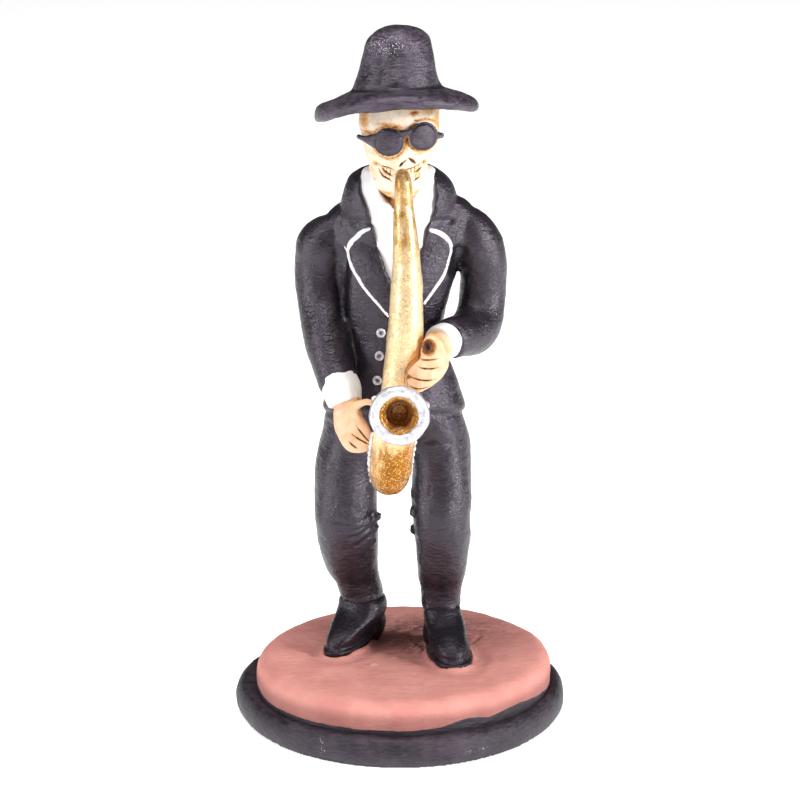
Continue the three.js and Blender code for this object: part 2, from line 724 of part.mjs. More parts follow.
// Outlines of the bell and of the hollow in it, about its own axis, with its mouth at zero height
const LIP_RADIUS = 1.6;
const bellOutline = (grow) => [
  [0, -5.5],
  [6.6 + grow, -5.5],
  [7.6 + grow, -3],
  ...arc([BELL_RADIUS - LIP_RADIUS, -0.1], [LIP_RADIUS + grow, LIP_RADIUS + grow], -50, 100, 4),
  [BELL_HOLE_RADIUS + 0.5, 0.7],
  [0, 0.7],
];
const HOLLOW_OUTLINE = [
  [0, -BELL_HOLE_DEPTH],
  [BELL_HOLE_RADIUS * 0.6, -BELL_HOLE_DEPTH],
  [BELL_HOLE_RADIUS * 0.86, -BELL_HOLE_DEPTH * 0.7],
  [BELL_HOLE_RADIUS, -1],
  [BELL_HOLE_RADIUS + 0.9, 2],
  [0, 2],
];
const atBell = (geometry) =>
  solid(geometry.rotateX((90 - BELL_RISE) * DEGREE).translate(...BELL_CENTRE));

// The closed outer form, thickened by grow
function makeSaxophoneForm(grow = 0) {
  const tube = { sides: 12, grow };
  return join(
    roll(SAX_BODY, tube),
    slices(SAX_BOW, { sides: 16, grow }),
    roll(SAX_THROAT, tube),
    atBell(turned(bellOutline(grow), 20)),
    ...KEY_GUARDS.map((strip) => roll(strip, { sides: 6, grow })),
    ...KEY_KNOBS.map((stalk) => digit(stalk, { across: Z_AXIS, grow })),
  );
}
const makeSaxophone = () => makeSaxophoneForm().subtract(atBell(turned(HOLLOW_OUTLINE, 14)));

// The musician, one body of clay, cleared where the glasses and the saxophone touch it
function makeFigure() {
  const body = join(
    slices(RIGHT_LEG),
    slices(LEFT_LEG),
    slices(SEAT, { sides: 16 }),
    makeBoot(RIGHT_BOOT),
    makeBoot(LEFT_BOOT),
    makeJacket(),
    makeCollar(),
    makeShirt(),
    roll(NECK, { sides: 10 }),
    makeSkull().subtract(join(...FACE_LINES.map(faceLine))),
  );
  const arms = join(
    roll(RIGHT_ARM),
    roll(LEFT_ARM, { across: LEFT_ARM_ACROSS }),
    roll(RIGHT_CUFF),
    roll(LEFT_CUFF, { across: Z_AXIS }),
    roll(LEFT_WRIST, { across: Z_AXIS, sides: 10 }),
    makeHand(RIGHT_HAND),
    digit(RIGHT_THUMB, { across: Y_AXIS }),
    makeHand(LEFT_HAND),
  );
  return join(body, arms, ...BUTTONS.map(makeButton))
    .subtract(ball(THUMB_HOLLOW.centre, THUMB_HOLLOW.half, { sides: 8, rings: 5 }))
    .subtract(makeSaxophoneForm(SEAT_GAP))
    .subtract(makeSunglasses(SEAT_GAP));
}

const paint = (color, roughness, metalness = 0) =>
  new THREE.MeshStandardMaterial({ color, roughness, metalness });

const pieces = [
  { name: "base", made: makeBase(), material: paint(0xc77f72, 0.9) },
  { name: "figure", made: makeFigure(), material: paint(0x2a262b, 0.55) },
  { name: "hat", made: makeHat(), material: paint(0x37323a, 0.6), position: HAT_PLACE, rotation: HAT_TURN },
  { name: "sunglasses", made: makeSunglasses(), material: paint(0x2c282e, 0.5) },
  { name: "saxophone", made: makeSaxophone(), material: paint(0xc9973f, 0.4, 0.7) },
];

const figurine = new THREE.Group();
for (const { name, made, material, position = [0, 0, 0], rotation = [0, 0, 0] } of pieces) {
  const mesh = new THREE.Mesh(geometryOf(made), material);
  mesh.name = name;
  mesh.position.set(...position);
  mesh.rotation.set(...rotation);
  figurine.add(mesh);
}

export default figurine;
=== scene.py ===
# %% [markdown]
# # A painted clay musician
# The real object is a small statuette, rolled and pressed out of clay by hand, fired and painted: a skeleton
# in a black suit who plays a saxophone on a round two-tier base. This notebook dresses its plain solids in
# what a hand leaves behind: soft joins, pressed lines, brush strokes, chips and dirt, and it paints shade
# into the creases.
#
# The first cell loads the solids, which stay where they are. Each piece made here stands for one of them.

# %% Load the solids
import math

import bpy
import numpy as np
from mathutils import Euler, Matrix, Vector, noise


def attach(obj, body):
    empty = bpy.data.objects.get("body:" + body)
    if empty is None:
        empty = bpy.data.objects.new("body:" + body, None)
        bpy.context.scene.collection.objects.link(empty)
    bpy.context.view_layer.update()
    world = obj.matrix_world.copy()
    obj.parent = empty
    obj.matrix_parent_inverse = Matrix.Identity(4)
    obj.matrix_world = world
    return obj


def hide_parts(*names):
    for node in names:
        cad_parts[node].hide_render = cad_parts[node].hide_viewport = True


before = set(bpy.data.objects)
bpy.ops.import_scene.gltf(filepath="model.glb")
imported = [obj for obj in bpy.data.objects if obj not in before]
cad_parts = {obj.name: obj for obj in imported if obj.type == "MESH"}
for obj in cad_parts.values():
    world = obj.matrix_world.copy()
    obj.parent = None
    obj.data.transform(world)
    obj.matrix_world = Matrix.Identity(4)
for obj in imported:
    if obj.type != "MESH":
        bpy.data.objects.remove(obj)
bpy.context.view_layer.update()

# %% [markdown]
# ## Units and the camera
# Clay figures are measured in millimetres, so every table of sizes below is in millimetres and the last step
# of making a piece multiplies by `MM`. The figure faces -Y, and its own right hand is on the -X side.
#
# The camera stands a metre away, a little above the figure, and looks down on it with a long lens. A long
# lens from far away keeps the proportions true, which is why product photographs are taken like this.

# %% Camera
MM = 0.001
CAMERA_PLACE = (0, -1.0, 0.386)  # metres
CAMERA_PITCH = 15.77  # degrees below level
CAMERA_LENS = 148.5

lens = bpy.data.cameras.new("camera")
lens.lens = CAMERA_LENS
lens.sensor_width = 36
camera = bpy.data.objects.new("camera", lens)
camera.location = CAMERA_PLACE
camera.rotation_euler = (math.radians(90 - CAMERA_PITCH), 0, 0)
bpy.context.scene.collection.objects.link(camera)
bpy.context.scene.camera = camera
print("camera", round(math.dist(CAMERA_PLACE, (0, 0, 0.11)), 3), "m from the middle of the figure")

# %% [markdown]
# ## Floor and light
# A pale floor and a pale sky all round act like the white tent that small objects are photographed in. Large
# area lamps stand in for soft boxes: the larger a lamp is, the softer the shadow. Two stand well round to the
# sides, so that the flanks of the suit catch the light while its front stays dark, and one hangs above.

# %% Floor and light
FIGURE_MIDDLE = (0, 0, 0.11)  # metres
# Name, place and diameter in metres, and power in watts
SOFT_BOXES = [
    ("front_right", (1.25, -0.65, 0.52), 0.34, 20),
    ("front_left", (-1.25, -0.6, 0.52), 0.38, 9.5),
    ("above", (-0.1, -0.3, 1.4), 0.8, 14),
]
SKY_STRENGTH = 0.1


def soft_box(name, place, size, power):
    lamp = bpy.data.lights.new(name, "AREA")
    lamp.shape = "DISK"
    lamp.size = size
    lamp.energy = power
    holder = bpy.data.objects.new(name, lamp)
    holder.location = place
    holder.rotation_euler = (Vector(FIGURE_MIDDLE) - Vector(place)).to_track_quat("-Z", "Y").to_euler()
    bpy.context.scene.collection.objects.link(holder)


for box in SOFT_BOXES:
    soft_box(*box)

sky = bpy.data.worlds.new("sky")
sky.use_nodes = True
sky.node_tree.nodes["Background"].inputs["Color"].default_value = (1, 1, 1, 1)
sky.node_tree.nodes["Background"].inputs["Strength"].default_value = SKY_STRENGTH
bpy.context.scene.world = sky
bpy.context.scene.view_settings.view_transform = "Standard"

# %% [markdown]
# ## Wiring a paint
# A Blender material is a graph of nodes. `add` puts one node in the graph and plugs its inputs in one line:
# a plain value is typed into the socket, and the output of another node is linked to it.

# %% Node helpers
def add(tree, kind, inputs, **settings):
    made = tree.nodes.new(kind)
    for key, value in settings.items():
        setattr(made, key, value)
    for key, value in inputs.items():
        if isinstance(value, bpy.types.NodeSocket):
            tree.links.new(value, made.inputs[key])
        else:
            made.inputs[key].default_value = value
    return made


def blank_paint(name):
    """A new material: its node tree and its main shader."""
    material = bpy.data.materials.new(name)
    material.use_nodes = True
    return material, material.node_tree, material.node_tree.nodes["Principled BSDF"]


def mottle(tree, size, stretch=(1, 1, 1), detail=3.0, turn=(0, 0, 0)):
    """Cloudy values from 0 to 1. Size is in millimetres, and stretch draws the clouds out into strokes."""
    place = add(tree, "ShaderNodeTexCoord", {}).outputs["Object"]
    per_metre = [1 / (size * MM * s) for s in stretch]
    scaled = add(tree, "ShaderNodeMapping", {"Vector": place, "Rotation": turn, "Scale": per_metre})
    inputs = {"Vector": scaled.outputs["Vector"], "Scale": 1.0, "Detail": detail, "Roughness": 0.6}
    return add(tree, "ShaderNodeTexNoise", inputs).outputs["Fac"]


def step(tree, value, low, high, low_gives=0.0, high_gives=1.0):
    """A soft step: low_gives under low, high_gives over high, and smooth in between."""
    inputs = {"Value": value, "From Min": low, "From Max": high, "To Min": low_gives, "To Max": high_gives}
    return add(tree, "ShaderNodeMapRange", inputs, interpolation_type="SMOOTHSTEP").outputs["Result"]


def blend(tree, share, first, second, how="MIX"):
    """Two colours mixed by a share from 0 to 1."""
    pick = [c if isinstance(c, bpy.types.NodeSocket) else (*c, 1.0) for c in (first, second)]
    inputs = {0: share, 6: pick[0], 7: pick[1]}
    return add(tree, "ShaderNodeMix", inputs, data_type="RGBA", blend_type=how).outputs[2]


def sums(tree, how, first, second):
    return add(tree, "ShaderNodeMath", {0: first, 1: second}, operation=how).outputs[0]


def times(tree, first, second):
    return sums(tree, "MULTIPLY", first, second)


print("wiring helpers", [helper.__name__ for helper in (add, blank_paint, step, blend, sums, times)])

# %% [markdown]
# Three more helpers read or make patterns. `painted_on` reads a value from the mesh, `dents` turns a pattern
# into small bumps that only the shading shows, and `flecks` scatters dots.

# %% Marks, dents and flecks
def painted_on(tree, name):
    """A value that the sculpting steps left on the vertices, such as the dirt and painted shade marked there.
    """
    return add(tree, "ShaderNodeAttribute", {}, attribute_name=name).outputs["Fac"]


def dents(tree, shader, height, depth, before=None):
    """Small bumps in the shading, depth in millimetres. Bumps can be chained with before."""
    inputs = {"Height": height, "Distance": depth * MM, "Strength": 1.0}
    if before is not None:
        inputs["Normal"] = before
    bump = add(tree, "ShaderNodeBump", inputs).outputs["Normal"]
    tree.links.new(bump, shader.inputs["Normal"])
    return bump


def flecks(tree, cell, size, share):
    """Stray dots: 1 inside them, 0 elsewhere. Only a share of the cells holds one."""
    place = add(tree, "ShaderNodeTexCoord", {}).outputs["Object"]
    cells = add(tree, "ShaderNodeTexVoronoi", {"Vector": place, "Scale": 1 / (cell * MM)})
    lucky = add(tree, "ShaderNodeSeparateColor", {"Color": cells.outputs["Color"]}).outputs[0]
    chosen = step(tree, lucky, 1 - share, 1 - share + 0.001)
    dot = step(tree, cells.outputs["Distance"], size / cell * 0.5, size / cell * 0.35)
    return times(tree, chosen, dot)


print("pattern helpers", [helper.__name__ for helper in (mottle, painted_on, dents, flecks)])

# %% [markdown]
# ## Brushed black
# The suit, hat and rim are one craft paint, a black that leans to purple and dries satin, and the hat is
# given a lighter black as painted light on its lit crown. The brush leaves fine streaks that catch the light,
# thin in some places and thick in others, and a few pale specks of dust are caught in it. Shade is painted in
# as a deeper black in the creases, along pressed lines and lower down the suit. White dots are painted on as
# glints where the hat's crown catches the light, and on the rim they mark a pale scratch. `stroke` draws the
# streaks out: upright for the suit, round for the hat.

# %% Black paint
BLACK_THICK_AND_SHADE = (0.008, 0.007, 0.010)
BLACK_THIN = (0.023, 0.015, 0.024)
LAVENDER = (0.95, 0.84, 1.0)
DUST = (0.75, 0.68, 0.62)
GLINT_AND_SCRATCH = (0.95, 0.93, 0.95)
STREAK_SIZE = 0.55  # mm, like every size and depth of a pattern
STREAK_DEPTH = 0.04
PATCH_SIZE = 9
RIPPLE_SIZE = 0.8
RIPPLE_DEPTH = 0.38
SPECK_SIZE = 0.34
DUST_CELL = 2.6
GLINT_CELL = 0.5
GLINT_SHARE = 0.6


def black_paint(name, stroke, thin=BLACK_THIN, rough=(0.25, 0.37), shine=0.7, dust=0.004):
    material, tree, shader = blank_paint(name)
    streaks = mottle(tree, STREAK_SIZE, stroke, detail=4)
    patches = mottle(tree, PATCH_SIZE, (1, 1, 1.6))
    ripples = mottle(tree, RIPPLE_SIZE, (2.4, 2.4, 1), detail=5, turn=(0, 0.35, 0))
    cover = sums(tree, "ADD", times(tree, streaks, 0.6), times(tree, patches, 0.55))
    colour = blend(tree, step(tree, cover, 0.42, 0.78), BLACK_THICK_AND_SHADE, thin)
    # Painted shade: the black is deeper in creases, along pressed lines and where a piece marks it low down.
    creased = step(tree, painted_on(tree, "crease"), 0.15, 0.8)
    line_and_crease_shade = sums(tree, "MAXIMUM", painted_on(tree, "wash"), creased)
    painted_shade = sums(tree, "MAXIMUM", painted_on(tree, "dirt"), line_and_crease_shade)
    colour = blend(tree, painted_shade, colour, BLACK_THICK_AND_SHADE)
    colour = blend(tree, flecks(tree, DUST_CELL, SPECK_SIZE, dust), colour, DUST)
    # White dots: painted glints on the hat's crown, and a pale scratch on the rim.
    dots = flecks(tree, GLINT_CELL, SPECK_SIZE, GLINT_SHARE)
    glints_and_scratches = times(tree, dots, painted_on(tree, "worn"))
    colour = blend(tree, glints_and_scratches, colour, GLINT_AND_SCRATCH)
    tree.links.new(colour, shader.inputs["Base Color"])
    tree.links.new(step(tree, cover, 0.35, 0.8, *rough), shader.inputs["Roughness"])
    shader.inputs["Specular IOR Level"].default_value = shine
    shader.inputs["Specular Tint"].default_value = (*LAVENDER, 1)
    first = dents(tree, shader, streaks, STREAK_DEPTH)
    dents(tree, shader, ripples, RIPPLE_DEPTH, first)
    return material


UPRIGHT = (1, 1, 9)
ROUND = (5, 5, 1)
LEVEL = (3, 3, 1)
EVEN = (2, 2, 2)
# The hat's black is lighter than the suit's, as painted light for its lit crown.
HAT_BLACK_LIT = (0.092, 0.066, 0.098)
RIM_BLACK = (0.052, 0.038, 0.050)
BOOT_BLACK = (0.010, 0.007, 0.010)
GLASSES_BLACK = (0.074, 0.055, 0.074)
suit_paint = black_paint("suit_paint", UPRIGHT)
boot_paint = black_paint("boot_paint", EVEN, BOOT_BLACK, rough=(0.26, 0.4), shine=0.5)
rim_paint = black_paint("rim_paint", ROUND, RIM_BLACK, rough=(0.42, 0.58), shine=0.45, dust=0.02)
hat_paint = black_paint("hat_paint", ROUND, HAT_BLACK_LIT, rough=(0.32, 0.46), dust=0.01)
glasses_paint = black_paint("glasses_paint", LEVEL, GLASSES_BLACK, rough=(0.32, 0.45))
print("black paints", [m.name for m in (suit_paint, boot_paint, rim_paint, hat_paint, glasses_paint)])

# %% [markdown]
# ## Pink clay
# The ground is matt terracotta pink. It's dirtier between the feet, where a brown wash was rubbed in and
# shade is painted in with it, its creases are painted darker as shade, and the black of the rim has crept a
# millimetre or two up its wall, with a wavering edge where the brush ran along. Above that edge the wall is
# painted a little darker than the top, as painted shade.

# %% Pink clay
PINK = (0.610, 0.240, 0.205)
PINK_PALE = (0.690, 0.300, 0.255)
PINK_DIRT_AND_SHADE = (0.230, 0.090, 0.085)
PIT = (0.110, 0.042, 0.040)
WALL_SHADE = (0.60, 0.57, 0.57)
WALL = (13, 17.5)  # heights between which the wall turns into the top, mm
PAINT_EDGE = 10.7  # height of the black's upper edge, mm
EDGE_SOFTNESS = (0.62, 0.78)
WAVER = 1.3  # how far the edge wavers, mm
CLIMB = 2.4  # how far it climbs where the brush slipped, mm
BRUSH_WAY = (0, 0, -0.6)  # the way the ground was wiped, radians

material, tree, shader = blank_paint("ground_paint")
ground_paint = material
clouds = mottle(tree, 11, (1, 1, 1))
drag = mottle(tree, 0.8, (6, 1.8, 1), detail=7, turn=BRUSH_WAY)
grain = mottle(tree, 0.3)
colour = blend(tree, step(tree, clouds, 0.3, 0.7), PINK, PINK_PALE)
grainy = step(tree, grain, 0.35, 0.6, 0.5, 1.0)
scratches = times(tree, step(tree, drag, 0.44, 0.6, 0.1, 1.0), grainy)
# Brown wash rubbed into the ground, with painted shade in it between the feet.
dirt = times(tree, painted_on(tree, "dirt"), scratches)
colour = blend(tree, dirt, colour, PINK_DIRT_AND_SHADE)
pits = step(tree, mottle(tree, 0.8, (2.2, 1, 1), detail=7, turn=BRUSH_WAY), 0.48, 0.56, 0, 0.8)
colour = blend(tree, times(tree, painted_on(tree, "dirt"), pits), colour, PIT)
# Painted shade: grainy darkening in the ground's creases.
grainy_crease_shade = times(tree, painted_on(tree, "crease"), step(tree, grain, 0.4, 0.6))
colour = blend(tree, times(tree, grainy_crease_shade, 0.6), colour, PINK_DIRT_AND_SHADE)
colour = blend(tree, painted_on(tree, "wash"), colour, BLACK_THICK_AND_SHADE)
place = add(tree, "ShaderNodeTexCoord", {}).outputs["Object"]
height = add(tree, "ShaderNodeSeparateXYZ", {"Vector": place}).outputs["Z"]
# Painted shade: the wall is painted a little darker than the top.
colour = blend(tree, step(tree, height, WALL[1] * MM, WALL[0] * MM), colour, WALL_SHADE, "MULTIPLY")
waver = times(tree, mottle(tree, 6, detail=6), WAVER * MM)
climb = times(tree, painted_on(tree, "worn"), CLIMB * MM)
edge = sums(tree, "SUBTRACT", sums(tree, "SUBTRACT", height, waver), climb)
black = step(tree, edge, *[(PAINT_EDGE - softness) * MM for softness in EDGE_SOFTNESS])
colour = blend(tree, black, colour, BLACK_THIN)
colour = blend(tree, flecks(tree, 2.4, 0.3, 0.02), colour, DUST)
tree.links.new(colour, shader.inputs["Base Color"])
tree.links.new(step(tree, black, 0, 1, 0.88, 0.5), shader.inputs["Roughness"])
first = dents(tree, shader, mottle(tree, 1.6, (3, 1.4, 1), detail=4, turn=(0, 0, -0.4)), 0.3)
second = dents(tree, shader, drag, 0.4, first)
dents(tree, shader, grain, 0.06, second)
print("ground paint has", len(tree.nodes), "nodes")

# %% [markdown]
# ## Bone
# The skull and hands are cream with an antique finish: thin brown paint was brushed on and wiped off, so that
# it stays in every pressed line and fades to orange round it. The lines are marked on the vertices as a wash
# value while they are pressed, and the shader turns that value into orange, brown and near black. The same
# value also carries painted shade where the head turns down or sideways and where a hand turns away.

# %% Bone paint
BONE = (0.875, 0.700, 0.500)
BONE_PALE = (0.950, 0.850, 0.720)
BONE_ORANGE = (0.780, 0.400, 0.130)
WASH_BROWN = (0.200, 0.065, 0.018)
WASH_DARK = (0.030, 0.010, 0.005)


def bone_paint(name, pale=BONE_PALE, deep=BONE):
    material, tree, shader = blank_paint(name)
    clouds = mottle(tree, 3.2, detail=4)
    blots = mottle(tree, 0.9, detail=3)
    grit = mottle(tree, 0.35, detail=2)
    wash = painted_on(tree, "wash")
    crease = painted_on(tree, "crease")
    stain = sums(tree, "ADD", wash, times(tree, crease, 0.35))
    rough_edge = sums(tree, "ADD", times(tree, blots, 0.55), times(tree, grit, 0.35))
    ragged = sums(tree, "ADD", stain, sums(tree, "SUBTRACT", rough_edge, 0.45))
    colour = blend(tree, step(tree, clouds, 0.35, 0.65), pale, deep)
    colour = blend(tree, step(tree, ragged, 0.08, 0.42), colour, BONE_ORANGE)
    colour = blend(tree, step(tree, ragged, 0.38, 0.68), colour, WASH_BROWN)
    colour = blend(tree, step(tree, ragged, 0.66, 0.9), colour, WASH_DARK)
    tree.links.new(colour, shader.inputs["Base Color"])
    shader.inputs["Roughness"].default_value = 0.5
    first = dents(tree, shader, mottle(tree, 0.5, (2, 2, 1)), 0.03)
    dents(tree, shader, blots, 0.03, first)
    return material


bone = bone_paint("bone_paint")
hand_bone = bone_paint("hand_paint", pale=(0.830, 0.560, 0.375), deep=(0.770, 0.450, 0.255))

# %% [markdown]
# ## White, silver and gold
# The shirt, cuffs and piping are plain white, laid on thick. The buttons, the bell's rim and the keys are
# silver paint: ground metal in a binder, so it's bright but never a mirror. Both whites and silvers are
# painted darker in their creases, as painted shade. The saxophone is gold paint with coarse glitter in it,
# painted pale cream as a painted highlight and with amber flakes away from it. A Voronoi texture splits the
# surface into cells, and giving each cell its own brightness and tilt makes the glitter; the brightest flakes
# are painted near white as glints.

# %% White and silver
def white_paint(name):
    material, tree, shader = blank_paint(name)
    clouds = mottle(tree, 2.2, (1, 1, 2))
    colour = blend(tree, step(tree, clouds, 0.3, 0.7), (0.88, 0.87, 0.90), (0.95, 0.94, 0.96))
    # Painted shade: grey in the creases.
    colour = blend(tree, step(tree, painted_on(tree, "crease"), 0.3, 1.0), colour, (0.50, 0.46, 0.50))
    tree.links.new(colour, shader.inputs["Base Color"])
    shader.inputs["Roughness"].default_value = 0.6
    dents(tree, shader, mottle(tree, 0.6, (1, 1, 3)), 0.03)
    return material


def silver_paint(name):
    material, tree, shader = blank_paint(name)
    clouds = mottle(tree, 1.4, detail=5)
    colour = blend(tree, step(tree, clouds, 0.32, 0.58), (0.50, 0.48, 0.54), (0.80, 0.79, 0.80))
    # Painted shade: darker in the creases and at the marks the pieces leave, such as the edges of the bell's
    # ring.
    colour = blend(tree, step(tree, painted_on(tree, "crease"), 0.25, 0.9), colour, (0.16, 0.13, 0.16))
    colour = blend(tree, painted_on(tree, "dirt"), colour, (0.17, 0.15, 0.20))
    tree.links.new(colour, shader.inputs["Base Color"])
    shader.inputs["Metallic"].default_value = 0.35
    tree.links.new(step(tree, clouds, 0.3, 0.7, 0.42, 0.30), shader.inputs["Roughness"])
    dents(tree, shader, clouds, 0.035)
    return material


white = white_paint("white_paint")
silver = silver_paint("silver_paint")
print("white and silver have", len(white.node_tree.nodes), "and", len(silver.node_tree.nodes), "nodes")

# %% Gold
GOLD_PALE = (0.910, 0.690, 0.400)
GOLD = (0.480, 0.200, 0.004)
GOLD_AMBER = (0.230, 0.066, 0.001)
GOLD_BRIGHT = (0.980, 0.860, 0.560)
GOLD_BROWN = (0.430, 0.180, 0.090)
FLAKE_SIZE = 0.27


def gold_paint(name):
    material, tree, shader = blank_paint(name)
    place = add(tree, "ShaderNodeTexCoord", {}).outputs["Object"]
    glitter = add(tree, "ShaderNodeTexVoronoi", {"Vector": place, "Scale": 1 / (FLAKE_SIZE * MM)})
    flake = add(tree, "ShaderNodeSeparateColor", {"Color": glitter.outputs["Color"]}).outputs[0]
    clouds = sums(tree, "SUBTRACT", mottle(tree, 2.6, (1, 1, 2.2), detail=5), 0.5)
    worn = sums(tree, "ADD", painted_on(tree, "worn"), times(tree, clouds, 1.3))
    # Painted highlight: pale cream where the horn is marked for it, broken up by clouds.
    colour = blend(tree, step(tree, worn, 0.1, 0.75), GOLD, GOLD_PALE)
    colour = blend(tree, step(tree, flake, 0.7, 0.9, 0, 0.45), colour, GOLD)
    # Amber flakes where there is no painted highlight.
    away_from_highlight = step(tree, worn, 0.5, 0.05)
    amber = times(tree, step(tree, flake, 0.3, 0.65), away_from_highlight)
    colour = blend(tree, amber, colour, GOLD_AMBER)
    # Painted glints: the brightest flakes are painted near white.
    bright = times(tree, step(tree, flake, 0.14, 0.05), 0.5)
    colour = blend(tree, bright, colour, GOLD_BRIGHT)
    colour = blend(tree, step(tree, painted_on(tree, "wash"), 0.1, 0.8), colour, GOLD_BROWN)
    tree.links.new(colour, shader.inputs["Base Color"])
    shader.inputs["Metallic"].default_value = 0.6
    tree.links.new(step(tree, flake, 0, 1, 0.46, 0.28), shader.inputs["Roughness"])
    dents(tree, shader, flake, 0.03)
    return material


gold = gold_paint("gold_paint")
print("paints", len(bpy.data.materials))

# %% [markdown]
# ## Rolls of clay
# A maker starts every limb as a roll between the palms. In code, a roll is a row of stations: where its
# middle is and how wide and deep it is there. `flow` runs a smooth curve through the stations, the same way
# a roll bends smoothly, and `roll` wraps rings of points round it and closes the ends with a small dome.

# %% Rolls of clay
def flow(stations, spacing=1.0):
    """Rows x, y, z, half width, half depth on a smooth curve through the stations, about spacing apart."""
    rows = np.array([[*s, s[3]][:5] for s in stations], float)
    steps = np.linalg.norm(np.diff(rows[:, :3], axis=0), axis=1)
    at = np.concatenate([[0], np.cumsum(steps)])
    slope = np.gradient(rows, at, axis=0)
    wanted = np.linspace(0, at[-1], max(3, round(at[-1] / spacing)) + 1)
    i = np.clip(np.searchsorted(at, wanted, side="right") - 1, 0, len(at) - 2)
    gap = (at[i + 1] - at[i])[:, None]
    t = ((wanted - at[i])[:, None]) / gap
    return (
        (2 * t**3 - 3 * t**2 + 1) * rows[i]
        + (t**3 - 2 * t**2 + t) * gap * slope[i]
        + (3 * t**2 - 2 * t**3) * rows[i + 1]
        + (t**3 - t**2) * gap * slope[i + 1]
    )


def ring_faces(rings, sides):
    """Quads between rings of points, and a fan to one more point at each end."""
    i, j = np.meshgrid(np.arange(rings - 1), np.arange(sides), indexing="ij")
    here, after = i * sides + j, i * sides + (j + 1) % sides
    quads = np.stack([here, after, after + sides, here + sides], axis=-1).reshape(-1, 4).tolist()
    low, high, last = rings * sides, rings * sides + 1, (rings - 1) * sides
    fans = [[low, (k + 1) % sides, k] for k in range(sides)]
    fans += [[high, last + k, last + (k + 1) % sides] for k in range(sides)]
    return quads + fans


def squared(sides, square):
    """Points round a circle, across and deep, pulled towards a square when square is under 1."""
    angle = np.arange(sides) / sides * 2 * np.pi
    return [np.sign(v) * np.abs(v) ** square for v in (np.cos(angle), np.sin(angle))]


def roll(stations, across=(1, 0, 0), level=False, sides=40, dome=0.5, spacing=1.0, square=1.0):
    """A closed roll of clay: its points and faces. Level keeps its slices level, and square under 1 makes
    them squarer than an ellipse."""
    rows = flow(stations, spacing)
    ahead = np.gradient(rows[:, :3], axis=0)
    if level:
        ahead[:] = (0, 0, 1)
    ahead /= np.linalg.norm(ahead, axis=1)[:, None]
    side = np.array(across) - (ahead @ np.array(across))[:, None] * ahead
    side /= np.linalg.norm(side, axis=1)[:, None]
    out = np.cross(ahead, side)
    wide, deep = squared(sides, square)
    rings = []
    dome_steps = np.linspace(0, np.pi / 2, 6)[:-1]
    ends = [(0, -1, a) for a in dome_steps[:0:-1]] + [(len(rows) - 1, 1, a) for a in dome_steps[1:]]
    body = [(k, 0, 0.0) for k in range(len(rows))]
    for k, way, bend in ends[:4] + body + ends[4:]:
        width, depth = rows[k, 3:] * math.cos(bend)
        middle = rows[k, :3] + ahead[k] * way * math.sin(bend) * dome * min(rows[k, 3:])
        rings.append(middle + np.outer(wide * width, side[k]) + np.outer(deep * depth, out[k]))
    tips = [rows[k, :3] + ahead[k] * way * dome * min(rows[k, 3:]) for k, way in ((0, -1), (-1, 1))]
    points = np.concatenate([*rings, tips])
    return points, ring_faces(len(rings), sides)


print("a short roll has", len(roll([[0, 0, 0, 5], [0, 0, 20, 4]])[0]), "points")

# %% [markdown]
# Not everything is a roll. `ball` makes balls and flattened balls, `turned` spins an outline round an axis as
# on a potter's wheel, and `slab` pushes an outline straight through, like a cutter through rolled-out clay.

# %% Balls, turned forms and slabs
def ball(centre, half, turn=(0, 0, 0)):
    """A ball of clay with half sizes, turned by degrees."""
    height = np.cos(np.linspace(np.pi, 0, 14))
    stations = [[0, 0, h * half[2], *(max(0.02, math.sqrt(1 - h * h)) * np.array(half[:2]))] for h in height]
    points, faces = roll(stations, level=True, dome=0.01, spacing=half[2] / 9)
    spin = np.array(Euler([math.radians(a) for a in turn]).to_matrix())
    return points @ spin.T + np.array(centre), faces


def spun(outline, sides):
    """One ring of points for each radius and height in an outline."""
    angle = np.arange(sides) / sides * 2 * np.pi
    return [np.stack([r * np.cos(angle), r * np.sin(angle), np.full(sides, z)], axis=1) for r, z in outline]


def turned(outline, sides=96):
    """A form turned on a wheel. The outline runs from the axis up and back to the axis."""
    rings = spun(outline[1:-1], sides)
    tips = [[0, 0, outline[0][1]], [0, 0, outline[-1][1]]]
    return np.concatenate([*rings, tips]), ring_faces(len(rings), sides)


def arc(centre, half, start=0, end=360, count=25):
    """Points on an arc of an ellipse, between two angles in degrees, or all the way round it."""
    angles = np.radians(np.linspace(start, end, count))
    return [(centre[0] + half[0] * math.cos(a), centre[1] + half[1] * math.sin(a)) for a in angles]


def slab(outline, near, far):
    """An outline seen from the front, x and z, pushed through from one depth to another."""
    count = len(outline)
    points = np.array([(x, y, z) for y in (near, far) for x, z in outline], float)
    sides = [[k, (k + 1) % count, (k + 1) % count + count, k + count] for k in range(count)]
    area = sum(a[0] * b[1] - b[0] * a[1] for a, b in zip(outline, outline[1:] + outline[:1]))
    faces = [list(range(count))[::-1], [k + count for k in range(count)], *sides]
    return points, faces if area < 0 else [f[::-1] for f in faces]


print("a ball has", len(ball((0, 0, 0), (5, 5, 5))[0]), "points")

# %% [markdown]
# ## Joining wet clay
# Rolls that are pressed together while wet become one skin with soft hollows at the joins. Blender's Remesh
# modifier does the joining: it fills everything inside the overlapping shells with small cubes, its voxels,
# and wraps one new skin round them. The Smooth modifier then works like a wet thumb, and rounds the joins.
# `knife` cuts first, while the shapes are simple, with the Boolean modifier.

# %% Joining wet clay
def settle(made):
    """Bakes the modifiers of an object into its mesh."""
    graph = bpy.context.evaluated_depsgraph_get()
    mesh = bpy.data.meshes.new_from_object(made.evaluated_get(graph))
    made.modifiers.clear()
    made.data = mesh
    mesh.name = made.name
    return made


